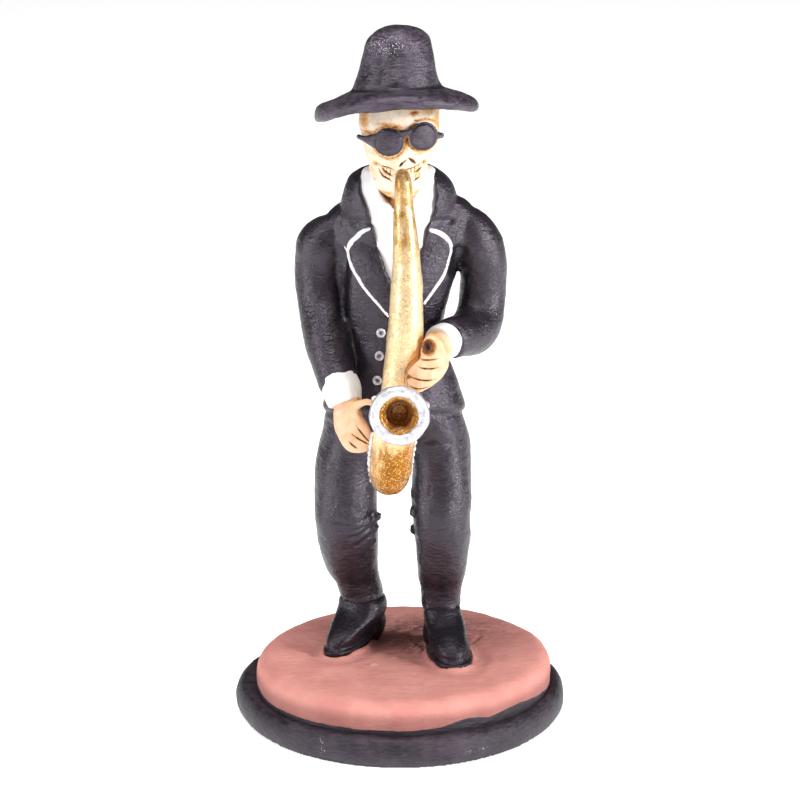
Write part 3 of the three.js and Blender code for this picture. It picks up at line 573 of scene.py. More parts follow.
def lump(name, *forms):
    """An object that holds one or more closed forms."""
    points, faces, start = [], [], 0
    for form_points, form_faces in forms:
        points.append(form_points)
        faces += [[k + start for k in face] for face in form_faces]
        start += len(form_points)
    mesh = bpy.data.meshes.new(name)
    mesh.from_pydata(np.concatenate(points) * MM, [], faces)
    mesh.validate()
    made = bpy.data.objects.new(name, mesh)
    bpy.context.scene.collection.objects.link(made)
    return made


def knife(made, *cutters):
    """Cuts an object with other objects, which are used up."""
    for cutter in cutters:
        cut = made.modifiers.new("cut", "BOOLEAN")
        cut.operation = "DIFFERENCE"
        cut.solver = "EXACT"
        cut.object = cutter
        bpy.context.view_layer.update()
        settle(made)
        bpy.data.objects.remove(cutter)
    return made


def form_of(made):
    """Takes an object apart again into points and faces, and removes it."""
    points = np.array([v.co for v in made.data.vertices]) / MM
    faces = [list(p.vertices) for p in made.data.polygons]
    bpy.data.objects.remove(made)
    return points, faces


def wet_join(name, *forms, grain=0.6, soften=6):
    """One skin round all the forms. Grain is the voxel in millimetres, soften the strokes of the thumb."""
    made = lump(name, *forms)
    skin = made.modifiers.new("skin", "REMESH")
    skin.mode = "VOXEL"
    skin.voxel_size = grain * MM
    thumb = made.modifiers.new("thumb", "SMOOTH")
    thumb.factor = 0.5
    thumb.iterations = soften
    bpy.context.view_layer.update()
    settle(made)
    print(name, len(made.data.polygons), "faces")
    return made


print("clay helpers", [helper.__name__ for helper in (lump, knife, wet_join)])

# %% [markdown]
# ## Sculpting by numbers
# Once the skin is there, the maker presses lines with a tool, adds thin strips and leaves finger marks. Such
# a mark is one formula over all the points at once: how far is each point from the line of the tool, and how
# deep does it go there? So the first helpers measure distances.

# %% Distances
def along_line(points, line):
    """How far points are from a line through several stops, and where along it they're nearest, 0 to 1."""
    stops = np.array(line, float)
    ways = np.diff(stops, axis=0)
    lengths = np.linalg.norm(ways, axis=1)
    starts = np.concatenate([[0], np.cumsum(lengths)])
    best = np.full(len(points), 1e9)
    where = np.zeros(len(points))
    for start, way, length, before in zip(stops, ways, lengths, starts):
        share = np.clip(((points - start) @ way) / max(way @ way, 1e-9), 0, 1)
        away = np.linalg.norm(points - start - share[:, None] * way, axis=1)
        nearer = away < best
        best[nearer] = away[nearer]
        where[nearer] = (before + share[nearer] * length) / starts[-1]
    return best, where


def distance_to_line(points, line):
    return along_line(points, line)[0]


def depth_inside(points, outline):
    """How far points lie inside a closed outline, and a negative distance outside it."""
    ring = np.array([*outline, outline[0]], float)
    inside = np.zeros(len(points), bool)
    for (x0, z0), (x1, z1) in zip(ring[:-1], ring[1:]):
        crosses = (z0 > points[:, 1]) != (z1 > points[:, 1])
        at = (x1 - x0) * (points[:, 1] - z0) / (z1 - z0 + 1e-12) + x0
        inside ^= crosses & (points[:, 0] < at)
    return distance_to_line(points, ring) * np.where(inside, 1, -1)


def smooth_step(value, low, high):
    t = np.clip((value - low) / (high - low), 0, 1)
    return t * t * (3 - 2 * t)


def smooth_line(line, spacing=0.4):
    """More stops on a smooth curve through a line's own."""
    size = len(line[0])
    rows = flow([[*stop, *[0] * (5 - size)] for stop in line], spacing)
    return rows[:, :size]


away, where = along_line(np.array([[3.0, 4.0]]), [(0, 0), (6, 0)])
print("a point is", away[0], "mm from a line,", where[0], "of the way along it")

# %% [markdown]
# `Skin` holds a mesh's points as arrays while it's worked on. A bell curve of the distance to a line gives a
# soft groove. Each mark can also leave stains, dirt, wear, painted shade and painted highlights, which the
# paints read from the vertices.

# %% Marks on a skin
CALM_PASSES = 8
FULL_CREASE = 0.25  # how deep a crease is that's dark all through, mm


class Skin:
    """A mesh's points and normals in millimetres, and the marks left on them."""

    def __init__(self, made):
        self.made = made
        count = len(made.data.vertices)
        flat = np.empty(count * 3, np.float32)
        made.data.vertices.foreach_get("co", flat)
        self.points = flat.reshape(-1, 3).astype(float) / MM
        made.data.vertices.foreach_get("normal", flat)
        self.normals = flat.reshape(-1, 3).astype(float)
        self.marks = {name: np.zeros(count) for name in ("wash", "dirt", "worn")}

    def facing(self, least=0.05, behind=None):
        """1 on the points that look to the front, 0 on the others and on those that lie behind a depth."""
        seen = smooth_step(-self.normals[:, 1], least, least + 0.2)
        return seen if behind is None else seen * (self.points[:, 1] < behind)

    def push(self, amount):
        self.points += self.normals * amount[:, None]

    def mark(self, name, amount):
        self.marks[name] = np.maximum(self.marks[name], amount)

    def press(self, lines, width, depth, wash=0.0, behind=None, curve=True, ends=1.0):
        """A groove along each line of x and z seen from the front, or of x, y and z. A negative depth adds
        clay, and with ends under 1 the groove thins out towards both ends."""
        for line in lines:
            flat = len(line[0]) == 2
            stops = smooth_line(line) if curve and len(line) > 2 else line
            space = self.points[:, [0, 2]] if flat else self.points
            away, where = along_line(space, stops)
            full = np.interp(where, (0, 0.35, 0.7, 1), (ends, 1, 1, ends))
            share = full * np.exp(-((away / (width * (0.4 + 0.6 * full))) ** 2))
            share *= self.facing(behind=behind) if flat else 1
            self.push(-depth * share)
            self.mark("wash", wash * share**0.75)

    def stamp(self, outline, rise, edge=0.8, behind=None):
        """Raises what lies inside an outline seen from the front, or sinks it with a negative rise."""
        inside = depth_inside(self.points[:, [0, 2]], outline)
        self.push(rise * smooth_step(inside, -edge / 2, edge / 2) * self.facing(behind=behind))

    def dab(self, name, *spots):
        """Soft round marks. Each has a place, x, y, z or x, z seen from the front, a size and an amount."""
        for place, size, amount in spots:
            flat = len(place) == 2
            space = self.points[:, [0, 2]] if flat else self.points
            away = np.linalg.norm((space - np.array(place)) / np.array(size), axis=1)
            self.mark(name, amount * np.exp(-(away**2)) * (self.facing() if flat else 1))

    def clouds(self, size, seed=0):
        """Cloudy values round 0 at the points, size in millimetres. Each seed gives other clouds."""
        shift = Vector((seed * 7.3, seed * 3.1, seed * 5.7))
        return np.array([noise.noise(Vector(p) / size + shift) for p in self.points])

    def lumps(self, size, height, seed):
        """The unevenness of a hand-rolled surface."""
        self.push(self.clouds(size, seed) * height)

    def done(self):
        """Puts the points and marks back on the mesh. A crease is what lies under a smooth copy of it."""
        mesh = self.made.data
        mesh.vertices.foreach_set("co", (self.points * MM).astype(np.float32).ravel())
        mesh.update()
        pairs = np.empty(len(mesh.edges) * 2, np.int32)
        mesh.edges.foreach_get("vertices", pairs)
        a, b = pairs.reshape(-1, 2).T
        count = len(self.points)
        around = np.bincount(a, minlength=count) + np.bincount(b, minlength=count)
        calm = self.points.copy()
        for _ in range(CALM_PASSES):
            total = [np.bincount(a, calm[b, k], count) + np.bincount(b, calm[a, k], count) for k in range(3)]
            calm = np.stack(total, axis=1) / np.maximum(around, 1)[:, None]
        sunk = np.einsum("ij,ij->i", calm - self.points, self.normals)
        self.marks["crease"] = np.clip(sunk / FULL_CREASE, 0, 1)
        for name, values in self.marks.items():
            layer = mesh.attributes.new(name, "FLOAT", "POINT")
            layer.data.foreach_set("value", np.clip(values, 0, 1).astype(np.float32))
        mesh.polygons.foreach_set("use_smooth", np.ones(len(mesh.polygons), bool))
        mesh.update()
        return self.made


def keep(made, node, paint):
    """Paints a finished piece and has it stand for one of the plain solids."""
    made.data.materials.clear()
    made.data.materials.append(paint)
    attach(made, "root")
    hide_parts(node)
    return made


print("a skin can be worked with", [name for name in vars(Skin) if not name.startswith("_")])

# %% [markdown]
# ## The base
# The real base is a thick rounded disc with a smaller one on top, like two layers of a cake. Both are turned
# here from an outline. The lower one has a groove where the upper one sits in it, and the upper one is a
# little off centre. The clay of the ground is pushed up in a thin lip round the soles, where the boots were
# set into it while it was soft, so the boots' outline is needed first.

# %% Sizes of the base
BASE_RADIUS = 53
GROUND_HEIGHT = 19.5
GROUND_RADIUS = 47.2
GROUND_OFFSET = 1.2
GROUND_EDGE = (4.2, 4.7)
GROUND_SWELL = 1.2
RIM_HEIGHT = 9.5
RIM_MIDDLE = 4.5
RIM_ROUND = 3.4
RIM_FOOT = 1.7
RIM_SWELL = 1.0
GROOVE_DEPTH = 0.7


def swollen(form, swell, corners):
    """A turned form that bulges towards some corners, as clay rolled by hand does."""
    points, faces = form
    angle = np.arctan2(points[:, 1], points[:, 0])
    points[:, :2] *= (1 + swell / BASE_RADIUS * np.sin(corners * angle))[:, None]
    return points, faces


print("the base is", 2 * BASE_RADIUS, "mm across")

# %% The boots' slices
# Height above the ground, how far before the heel and across the middle is, half length and half width
RIGHT_BOOT = {
    "heel": (-9.7, 18.8),
    "turn_out": 25,
    "slices": [
        [0, 13.6, -0.6, 14.2, 5.2], [2.1, 13.6, -0.6, 14.3, 5.4], [2.5, 13.5, -0.6, 13.7, 5],
        [4.6, 13.2, -0.4, 13.3, 5.5], [6.6, 12.2, 0, 12.2, 6.2], [8.6, 10.4, 0.5, 10.2, 6.9],
        [10.6, 8.8, 0.9, 8.4, 7.5], [12.8, 8, 1, 7.3, 7.5], [14.8, 7.8, 0.8, 6.7, 7],
        [16.4, 7.8, 0.6, 5.4, 5.6],
    ],
    "heel_ball": ((0.9, -5.4, 5.5), (6.6, 6.4, 8)),
}
LEFT_BOOT = {
    "heel": (13.2, 10.4),
    "turn_out": -7,
    "slices": [
        [0, 14.2, 0.9, 14.6, 6.5], [2.1, 14.2, 0.9, 14.7, 6.7], [2.5, 14.1, 0.9, 14.1, 6.2],
        [4.6, 13.8, 0.7, 13.7, 6.4], [6.6, 12.8, 0.4, 12.8, 6.3], [8.6, 10.8, 0.1, 10.8, 6.2],
        [10.6, 8.6, -0.2, 8.6, 6.1], [12.8, 7, -0.5, 7, 6], [14.2, 6.4, -0.6, 6.4, 6],
        [15.8, 6.2, -0.6, 5, 5],
    ],
    "heel_ball": ((-0.4, -5.6, 5.5), (6.3, 6.2, 8)),
}
BOOT_SQUARENESS = 0.8


def set_down(boot, points):
    """Turns points of a boot outwards and sets them on the ground at its heel."""
    angle = math.radians(-boot["turn_out"])
    turn = np.array([[math.cos(angle), -math.sin(angle)], [math.sin(angle), math.cos(angle)]])
    return points @ turn.T + np.array(boot["heel"])


def sole_outline(boot, grow=0.0, count=48):
    """The sole from above, as x and y on the ground."""
    _, before, across, length, width = boot["slices"][1]
    wide, deep = squared(count, BOOT_SQUARENESS)
    edge = [across + wide * (width + grow), -before + deep * (length + grow)]
    return set_down(boot, np.stack(edge, axis=1))


print("right toe at", sole_outline(RIGHT_BOOT)[36].round(1))

# %% The rim
rim_outline = [
    (0, 0),
    (BASE_RADIUS - RIM_FOOT, 0),
    *arc((BASE_RADIUS - RIM_ROUND, RIM_MIDDLE), (RIM_ROUND, RIM_HEIGHT - RIM_MIDDLE), -40, 90, 14),
    (GROUND_RADIUS, RIM_HEIGHT - GROOVE_DEPTH),
    (GROUND_RADIUS - 3, RIM_HEIGHT - 1),
    (0, RIM_HEIGHT - 1),
]
points, faces = swollen(turned(rim_outline, 160), RIM_SWELL, 3)
skin = Skin(wet_join("base_rim", (points + (0, RIM_SWELL, 0), faces), grain=0.9, soften=3))
low = skin.points[:, 2] < 0.4
skin.lumps(14, 0.35, seed=1)
skin.lumps(4, 0.10, seed=2)
skin.points[low, 2] = 0
skin.dab("worn", ((-24.4, -46, 6), (0.5, 4, 2.6), 0.9), ((24, -48, 4), (3.5, 5, 0.5), 0.7))
keep(skin.done(), "base", rim_paint)

# %% The ground
LIP = 1.25  # how high the clay is pushed up round the soles
LIP_WIDTH = 0.65
MOAT = -0.35  # and how deep a hollow that leaves beside the lip
MOAT_AWAY = 3.4
MOAT_WIDTH = 1.8
ground_outline = [
    (0, RIM_HEIGHT - 3),
    (GROUND_RADIUS - 0.2, RIM_HEIGHT - 3),
    (GROUND_RADIUS - 0.1, RIM_HEIGHT + 1.5),
    *arc((GROUND_RADIUS - GROUND_EDGE[0], GROUND_HEIGHT - GROUND_EDGE[1]), GROUND_EDGE, 0, 90, 8),
    (0, GROUND_HEIGHT),
]
points, faces = swollen(turned(ground_outline, 160), GROUND_SWELL, 2)
skin = Skin(wet_join("base_ground", (points + (GROUND_OFFSET, 0, 0), faces), grain=0.7, soften=3))
on_top = smooth_step(skin.normals[:, 2], 0.5, 0.9)
for boot, strength in ((RIGHT_BOOT, 1.0), (LEFT_BOOT, 0.8)):
    outline = sole_outline(boot, 0.5)
    away = distance_to_line(skin.points[:, :2], [*outline, outline[0]])
    nearness = np.exp(-((away / LIP_WIDTH) ** 2))
    breaks = np.clip(0.75 + skin.clouds(5.0), 0.2, 1.2)
    skin.push(LIP * strength * nearness * on_top * breaks)
    hollow = np.exp(-(((away - MOAT_AWAY) / MOAT_WIDTH) ** 2))
    skin.push(MOAT * hollow * on_top)
# Scrapes of a tool between the feet and before the left foot
SCRAPES = [
    [(2, 14, 19.5), (8, 17, 19.5), (14, 21, 19.5)],
    [(1, 19, 19.5), (6, 24, 19.5)],
    [(16, 22, 19.5), (21, 26, 19.5)],
    [(20, 6, 19.5), (24, 10, 19.5), (26, 15, 19.5)],
    [(-24, 8, 19.5), (-20, 13, 19.5)],
    [(-3, -1, 19.5), (1, 2, 19.5), (3, 6, 19.5)],
]
CRUMBS = [
    (5.6, 1.0, 19.6), (5.2, 3.6, 19.6), (3.6, 6.2, 19.6), (4.6, -1.6, 19.6), (-2, -6, 19.6),
    (-9, -13, 19.5),
]
# Where brown wash was rubbed in, with painted shade between the feet, where black paint dripped, and where
# the rim's black climbs the wall
RUBBED = [
    ((1, 22, 19.5), (18, 13, 5), 0.85), ((3, 8, 19.5), (7, 9, 5), 0.65),
    ((22, 22, 19.5), (14, 12, 5), 0.6), ((-16, 26, 19.5), (16, 9, 5), 0.35),
    ((8, 1, 19.5), (3, 4, 4), 0.6),
]
DRIPS = [
    ((7.4, 1.6, 19.5), (0.9, 1.6, 2), 1.0), ((6.6, 4.4, 19.5), (1.2, 1.1, 2), 1.0),
    ((5.2, 6.8, 19.5), (0.7, 0.9, 2), 1.0),
]
CLIMBS = [
    ((36, -30, 11), (13, 13, 6), 1.0), ((22, -42, 11), (8, 8, 6), 1.0), ((-44, 4, 11), (5, 12, 6), 1.0),
]
skin.press(SCRAPES, 0.6, 0.5)
skin.press([[(x, y, z), (x + 1, y + 0.7, z)] for x, y, z in CRUMBS], 0.75, -0.8)
skin.lumps(13, 0.5, seed=3)
skin.lumps(3, 0.12, seed=4)
skin.dab("dirt", *RUBBED)
skin.dab("wash", *DRIPS)
skin.dab("worn", *CLIMBS)
keep(skin.done(), "base", ground_paint)

# %% [markdown]
# ## Boots
# Each boot is a stack of level slices, long ones at the sole and short ones at the ankle, so that the instep
# slopes down to a blunt toe. Slices that are a little squarer than an ellipse give the toe its width. A ball
# of clay fills out the heel. The sole stands out a little, and a line pressed above it makes it read as one.

# %% Boots
def boot_forms(boot):
    rows = [(-1.2, *boot["slices"][0][1:]), *boot["slices"]]
    stations = [[across, -before, height, width, length] for height, before, across, length, width in rows]
    forms = [
        roll(stations, level=True, dome=0.05, spacing=0.5, square=BOOT_SQUARENESS, sides=64),
        ball(*boot["heel_ball"]),
    ]
    for points, faces in forms:
        points[:, 2] = np.maximum(points[:, 2], -1.5) + GROUND_HEIGHT
        points[:, :2] = set_down(boot, points[:, :2])
    return forms


for name, boot in (("boot_right", RIGHT_BOOT), ("boot_left", LEFT_BOOT)):
    skin = Skin(wet_join(name, *boot_forms(boot), grain=0.4, soften=4))
    outline = sole_outline(boot, -0.1)
    line = [(x, y, GROUND_HEIGHT + 2.7) for x, y in [*outline, outline[0]]]
    skin.press([line], 0.5, 0.45, curve=False)
    skin.lumps(6, 0.4, seed=5)
    keep(skin.done(), "figure", boot_paint)

# %% [markdown]
# ## The suit
# Trousers, jacket, sleeves and collar are one black skin. Each is a roll or a stack of level slices with the
# sizes that the plain solids have. The jacket flares at its hem, the knees bend forward, and the collar is a
# thick cup, hollowed and cut open at the front before everything is joined.

# %% Stations of the legs and the jacket
RIGHT_LEG = [
    [-12.2, 11.6, 32.8, 5.4, 5.6], [-12.4, 11.3, 34.6, 6.8, 6.9], [-12.9, 10.5, 37.6, 7.2, 7.2],
    [-13.6, 9.6, 40.5, 7.3, 7.2], [-15.1, 7.5, 44.5, 8.2, 8.0], [-16.3, 3.3, 53.5, 9.4, 8.8],
    [-17, -0.5, 63.5, 9.9, 9.2], [-17.2, 0.5, 73, 10, 9.6], [-16.7, 3.2, 83, 10, 10.4],
    [-13.5, 5, 91.5, 11.2, 12], [-11, 5.5, 99, 11, 13],
]
LEFT_LEG = [
    [13.2, 4.8, 32, 5, 5.2], [13.2, 4.7, 33.6, 6.1, 6.4], [13.2, 4.3, 37, 6.3, 6.6],
    [13.3, 3.6, 40.5, 6.5, 6.8], [13.4, 1.6, 45.5, 7.6, 7.6], [13.6, -1.8, 55, 8.5, 8.4],
    [13.3, -3.8, 65, 9.2, 9.0], [13.2, -2.3, 73.5, 9.6, 9.4], [13, 1.2, 83, 9.5, 10],
    [11.5, 4, 91, 10.5, 11.5], [8.5, 5, 99, 11, 13],
]
SEAT = [
    [-2, 5, 85.5, 8, 6], [-2, 5, 88.5, 16, 10], [-2, 5, 92, 21.4, 12.6], [-2, 5, 97, 21.8, 14],
    [-2, 5, 101, 20.5, 14.4],
]
JACKET = [
    [-2, 5.2, 97.6, 22.4, 15.2], [-1.9, 5, 100.6, 22.9, 15.8], [-1.7, 5, 106, 20.8, 14.8],
    [-1.8, 5, 112.5, 18.5, 13.5], [-2.2, 5, 119, 16.7, 12.8], [-2.4, 5, 126, 15.8, 12.4],
    [-1.9, 5, 134, 17, 12.6], [-1.1, 5.5, 142, 18.4, 13], [-0.2, 6.5, 149, 20.4, 12.8],
    [0.2, 7.3, 155, 23.4, 11.8], [0.8, 8, 160.6, 24.1, 10.6], [1.2, 8, 164.6, 21.4, 9.4],
    [1.7, 8, 167.4, 17, 8], [1.5, 8, 169.4, 11, 6.6],
]
RIGHT_ARM = [
    [-15, 8, 158.5, 4], [-20.4, 8, 156, 6.4], [-24, 8, 152.6, 8.1], [-25.5, 8, 146.4, 7.6],
    [-25.7, 7.3, 140.5, 7.3], [-24.8, 5.3, 134, 7.4], [-23.6, 1.5, 127.8, 7.5],
    [-22.2, -3.3, 121.3, 7.1], [-20.3, -8, 115.3, 6.5], [-19.1, -10.4, 112, 6.3],
]
LEFT_ARM = [
    [14, 8, 160, 4.5], [20.8, 8, 157.6, 7], [24.2, 8, 152.6, 7.9], [26, 8.2, 146.5, 7.4],
    [26, 8.4, 140, 7.4], [25.6, 7.6, 133.5, 7.4], [24.3, 4.2, 127.4, 7.9], [21.6, -1, 125.7, 7.5],
    [18.8, -5.8, 126, 6.5], [17.1, -8.2, 126.2, 6.3], [15.6, -10.3, 126.1, 6.2],
]
LEFT_ARM_ACROSS = (0.83, -0.56, 0)  # square to its bend
print("the jacket is", 2 * max(row[3] for row in JACKET), "mm across at the shoulders")

# %% Stations of the collar and the front
COLLAR = [
    [-0.8, 6, 156, 16.6, 12], [-0.6, 6.2, 160.5, 17.8, 12.6], [-0.5, 6.2, 165, 18.3, 12.8],
    [-0.3, 6, 168.8, 17.8, 12.6], [-0.3, 6, 172.2, 16.5, 12], [-0.5, 6, 174.8, 14.6, 11],
    [-0.4, 6, 176.8, 11.6, 9.4],
]
COLLAR_INSIDE = [
    [0, 4, 155, 9, 7], [-0.5, 4, 163, 12, 8.6], [-0.7, 4.5, 171, 12.4, 8.8], [-0.8, 5, 178, 10.6, 8],
]
COLLAR_OPENING = [
    (-8, 159.5), (-10.2, 166.5), (-12.4, 171.5), (-12.4, 175), (-11, 179), (-10, 184), (8, 184),
    (8.8, 180), (10.4, 175.5), (11.2, 170), (11, 165.5), (8, 160),
]
CHEST_OPENING = [
    (-8, 160), (-6.2, 153), (-4.3, 147), (0, 137.5), (3.7, 146), (6.2, 153.5), (8, 160.5), (6, 170),
    (-6, 170),
]
# The piping, x, z and half width, runs along the outer edge of each lapel
RIGHT_PIPING = [
    (-9.2, 160, 0.85), (-11.1, 159.1, 1.1), (-13.2, 156.8, 1.1), (-15.2, 154.7, 0.95),
    (-15.9, 152.9, 0.75), (-15.8, 151.1, 0.75), (-15.2, 148.7, 0.78), (-14.2, 146.4, 0.78),
    (-12.7, 144.2, 0.75), (-11.2, 141.8, 0.75), (-9.3, 139.5, 0.7), (-7.1, 137.1, 0.68),
    (-5, 134.7, 0.64), (-3.4, 132.8, 0.6),
]
RIGHT_SPUR = [(-17.2, 153.6, 0.4), (-16.5, 152.3, 0.55), (-15.8, 150.8, 0.6)]
LEFT_PIPING = [
    (9.1, 159.4, 0.85), (10.8, 158.7, 1.05), (12.7, 157.5, 1.1), (14.4, 156, 1), (15.5, 154.2, 0.8),
    (15.5, 152.2, 0.72), (14.7, 149, 0.72), (13.9, 146.2, 0.82), (12.7, 143.9, 0.86), (11, 141.6, 0.84),
    (9.3, 139.2, 0.78), (7.2, 136.4, 0.68),
]
RIGHT_LAPEL = [
    (-8.6, 160.6),
    *[(x, z) for x, z, _ in RIGHT_PIPING],
    (0, 130.6), (0, 137.5), (-4.3, 147), (-6.2, 153),
]
LEFT_LAPEL = [
    (8.2, 160.2),
    *[(x, z) for x, z, _ in LEFT_PIPING],
    (0, 130.6), (0, 137.5), (3.7, 146), (6.2, 153.5),
]
LAPEL_RISE = 0.7
SHIRT_DEPTH = 1.3
SHIRT_ROOM = 1.5  # the jacket is sunk this much further, so that the shirt lies free in its opening

# %% The suit's skin
collar = knife(
    lump("collar", roll(COLLAR, level=True, sides=64, dome=0.12)),
    lump("inside", roll(COLLAR_INSIDE, level=True, sides=48, dome=0.1)),
    lump("opening", slab(COLLAR_OPENING, -20, 2)),
)
suit = wet_join(
    "suit",
    roll(RIGHT_LEG, level=True),
    roll(LEFT_LEG, level=True),
    roll(SEAT, level=True, sides=64, dome=0.2),
    roll(JACKET, level=True, sides=72, dome=0.12),
    roll(RIGHT_ARM),
    roll(LEFT_ARM, across=LEFT_ARM_ACROSS),
    form_of(collar),
    grain=0.62,
    soften=7,
)

# %% [markdown]
# Now the marks on the suit. The lapels are raised and the chest is sunk behind the shirt, both inside an
# outline seen from the front. Then come the closing edge of the jacket, the creases where sleeve meets chest,
# the wrinkles over one knee, and the small torn crumbs down the inner seams of both trouser legs.

# %% Marks on the suit
CLOSING_EDGE = [(0, 131), (-2.2, 126), (-3.4, 118), (-4, 110), (-4.4, 99)]
NOTCHES = [
    [(-8.2, 161.6), (-12, 162), (-16, 161.2)],
    [(8.2, 161.8), (12, 162), (16, 161.4)],
]
ARMPITS = [
    [(-17.2, 151), (-17.6, 145), (-17.9, 138), (-18, 131)],
    [(18.4, 152), (18, 148), (17.2, 145)],
]
KNEE_WRINKLES = [
    [(-20, 66.4), (-16, 65.8), (-12, 66.2), (-8.5, 67.6)],
    [(-19, 64.0), (-15, 63.4), (-11, 64.2)],
    [(-16, 60.6), (-12.5, 61.6), (-9.8, 63.4)],
    [(-14.5, 57.4), (-12, 58.8), (-9.5, 60.8)],
]
HIP_CREASES = [[(-16, 90.5), (-11, 92.5), (-6.5, 91)], [(6, 91), (10, 92.8), (16, 91)]]
HEM_CENTRE = (-2, 5, 98.3)
HEM_HALF = (22.6, 15.4)
HEM_FRONT_RISE = 3.3

skin = Skin(suit)
before_back = 9  # only what lies before this depth is marked, so that the back of the jacket stays whole
skin.stamp(CHEST_OPENING, -SHIRT_DEPTH - SHIRT_ROOM, edge=0.7, behind=before_back)
for outline in (RIGHT_LAPEL, LEFT_LAPEL):
    skin.stamp(outline, LAPEL_RISE, edge=0.7, behind=before_back)
# The closing edge, the notches and the armpits are painted darker along their lines, as painted shade.
skin.press([CLOSING_EDGE], 0.6, 0.5, wash=0.6, behind=before_back)
skin.press(NOTCHES, 0.8, 0.55, wash=0.6, behind=before_back)
skin.press(ARMPITS, 1.5, 1.3, wash=0.8, behind=before_back)
skin.press(KNEE_WRINKLES, 0.6, 0.4)
skin.press(HIP_CREASES, 0.9, 0.4)
hem = []
for a in np.linspace(0, 2 * np.pi, 60):
    x, y = HEM_CENTRE[0] + HEM_HALF[0] * math.cos(a), HEM_CENTRE[1] + HEM_HALF[1] * math.sin(a)
    hem.append([x, y, HEM_CENTRE[2] - HEM_FRONT_RISE * min(0, math.sin(a))])
skin.press([hem], 1.1, 0.9, curve=False)

# Crumbs torn by the tool, down the inner seams and at the trouser bottoms
SEAM_CRUMBS = [(-7.3, (73, 70, 68, 66, 64, 62, 60, 58, 55, 52, 48)), (4.4, (74, 70, 62, 57, 54))]
BOTTOM_CRUMBS = [
    (-18, 6.4, 35), (-15.6, 4.6, 34.6), (-12.6, 4.2, 34.8), (-8.6, 5.6, 35.4), (8.6, 0.4, 33.8),
    (15.8, -0.6, 34),
]
maker = np.random.default_rng(4)
for x, tops in SEAM_CRUMBS:
    for z in tops:
        place = (x + maker.normal(0, 0.3), -4 + maker.normal(0, 1.5), z + maker.normal(0, 0.8))
        skin.press([[place, (place[0], place[1] - 0.8, place[2] - 1.4)]], 0.75, -1.5)
skin.press([[(x, y, z), (x + 1.8, y, z + 0.4)] for x, y, z in BOTTOM_CRUMBS], 0.9, -0.7)
skin.lumps(9, 0.45, seed=6)
skin.lumps(2.4, 0.14, seed=7)
# Painted shade: darker a little below the jacket's hem, and more down the lower legs.
up = skin.points[:, 2]
skin.mark("dirt", 0.4 * smooth_step(-up, -104, -90) + 0.6 * smooth_step(-up, -72, -50))
keep(skin.done(), "figure", suit_paint)

# %% [markdown]
# ## Shirt, throat and cuffs
# The shirt is a white form inside the jacket that shows in the V between the lapels and stands up round the
# neck. A second, smaller V cut in it shows the throat, which is bone like the head. The cuffs are short fat
# rings round the wrists.

# %% Shirt, throat and cuffs
SHIRT = [
    [0, 4.4, 134, 10, 10.6], [0, 4.2, 140, 10.6, 10.6], [0, 4, 146, 11, 10.4], [0, 3.6, 153, 11.6, 10],
    [-0.3, 3.2, 160, 12.3, 9.8], [-0.5, 3, 166, 12.9, 9.4], [-0.6, 3.2, 171, 12.9, 9.2],
    [-0.4, 3.6, 175, 12.2, 8.8], [-0.3, 3.8, 177, 11.2, 8.2],
]
THROAT_OPENING = [
    (-0.4, 163.5), (5.6, 172), (5.6, 178), (-6.6, 178), (-6.6, 172),
]
NECK = [
    [0, 3.4, 150, 5.6], [0, 3, 166, 5.2], [0, 2.4, 178, 5.4],
]
RIGHT_CUFF = [
    [-19.3, -10, 113.2, 5.9], [-17.8, -12.8, 109.6, 6], [-17, -14.6, 106.6, 5.2],
]
LEFT_CUFF = [
    [15.2, -10.5, 126.1, 5.4], [13.3, -13, 126, 5.7], [12.1, -14.8, 125.8, 5.4],
]

shirt = knife(
    lump("shirt", roll(SHIRT, level=True, sides=48, dome=0.15)),
    lump("throat_cut", slab(THROAT_OPENING, -20, 1)),
)
skin = Skin(wet_join("shirt", form_of(shirt), grain=0.45, soften=5))
skin.press([[(-8.2, 171), (-5.6, 164), (-2.6, 157)], [(8, 170), (6, 163), (3.5, 156)]], 0.9, 0.25)
skin.lumps(5, 0.3, seed=8)
keep(skin.done(), "figure", white)

skin = Skin(wet_join("throat", roll(NECK, dome=0.1), grain=0.5, soften=3))
skin.mark("wash", np.full(len(skin.points), 0.3))
skin.dab("wash", ((-3.2, 168.6), (1.6, 3.4), 0.6))
skin.lumps(3, 0.3, seed=9)
keep(skin.done(), "figure", bone)

for name, stations, across in (
    ("cuff_right", RIGHT_CUFF, (1, 0, 0)),
    ("cuff_left", LEFT_CUFF, (0, 0, 1)),
):
    skin = Skin(wet_join(name, roll(stations, across=across, dome=0.08), grain=0.36, soften=3))
    skin.lumps(5, 0.3, seed=10)
    keep(skin.done(), "figure", white)

# %% [markdown]
# ## Piping and buttons
# The piping on the lapels is a line of thick white paint over their raised edge. It's widest at the top and
# thins out towards the closing of the jacket, and on one side two strokes cross and leave a small spur. To
# lie on the jacket at any depth, each line is dropped onto the suit with a ray from the front.

# %% Piping
def front_of(made, x, z):
    """Depth of an object's front at a place seen from the front, in millimetres."""
    hit, place, _, _ = made.ray_cast(Vector((x * MM, -0.2, z * MM)), Vector((0, 1, 0)))
    if not hit:
        raise ValueError(f"nothing of {made.name} is behind {x}, {z}")
    return place.y / MM


def laid_on(made, line, sink=0.1):
    """Stations of a strip that lies on the front of an object, from x, z and half width."""
    dense = flow([[x, 0, z, half, half] for x, z, half in line], 0.5)
    return [[x, front_of(made, x, z) + sink, z, half, half * 0.6] for x, _, z, half, _ in dense]


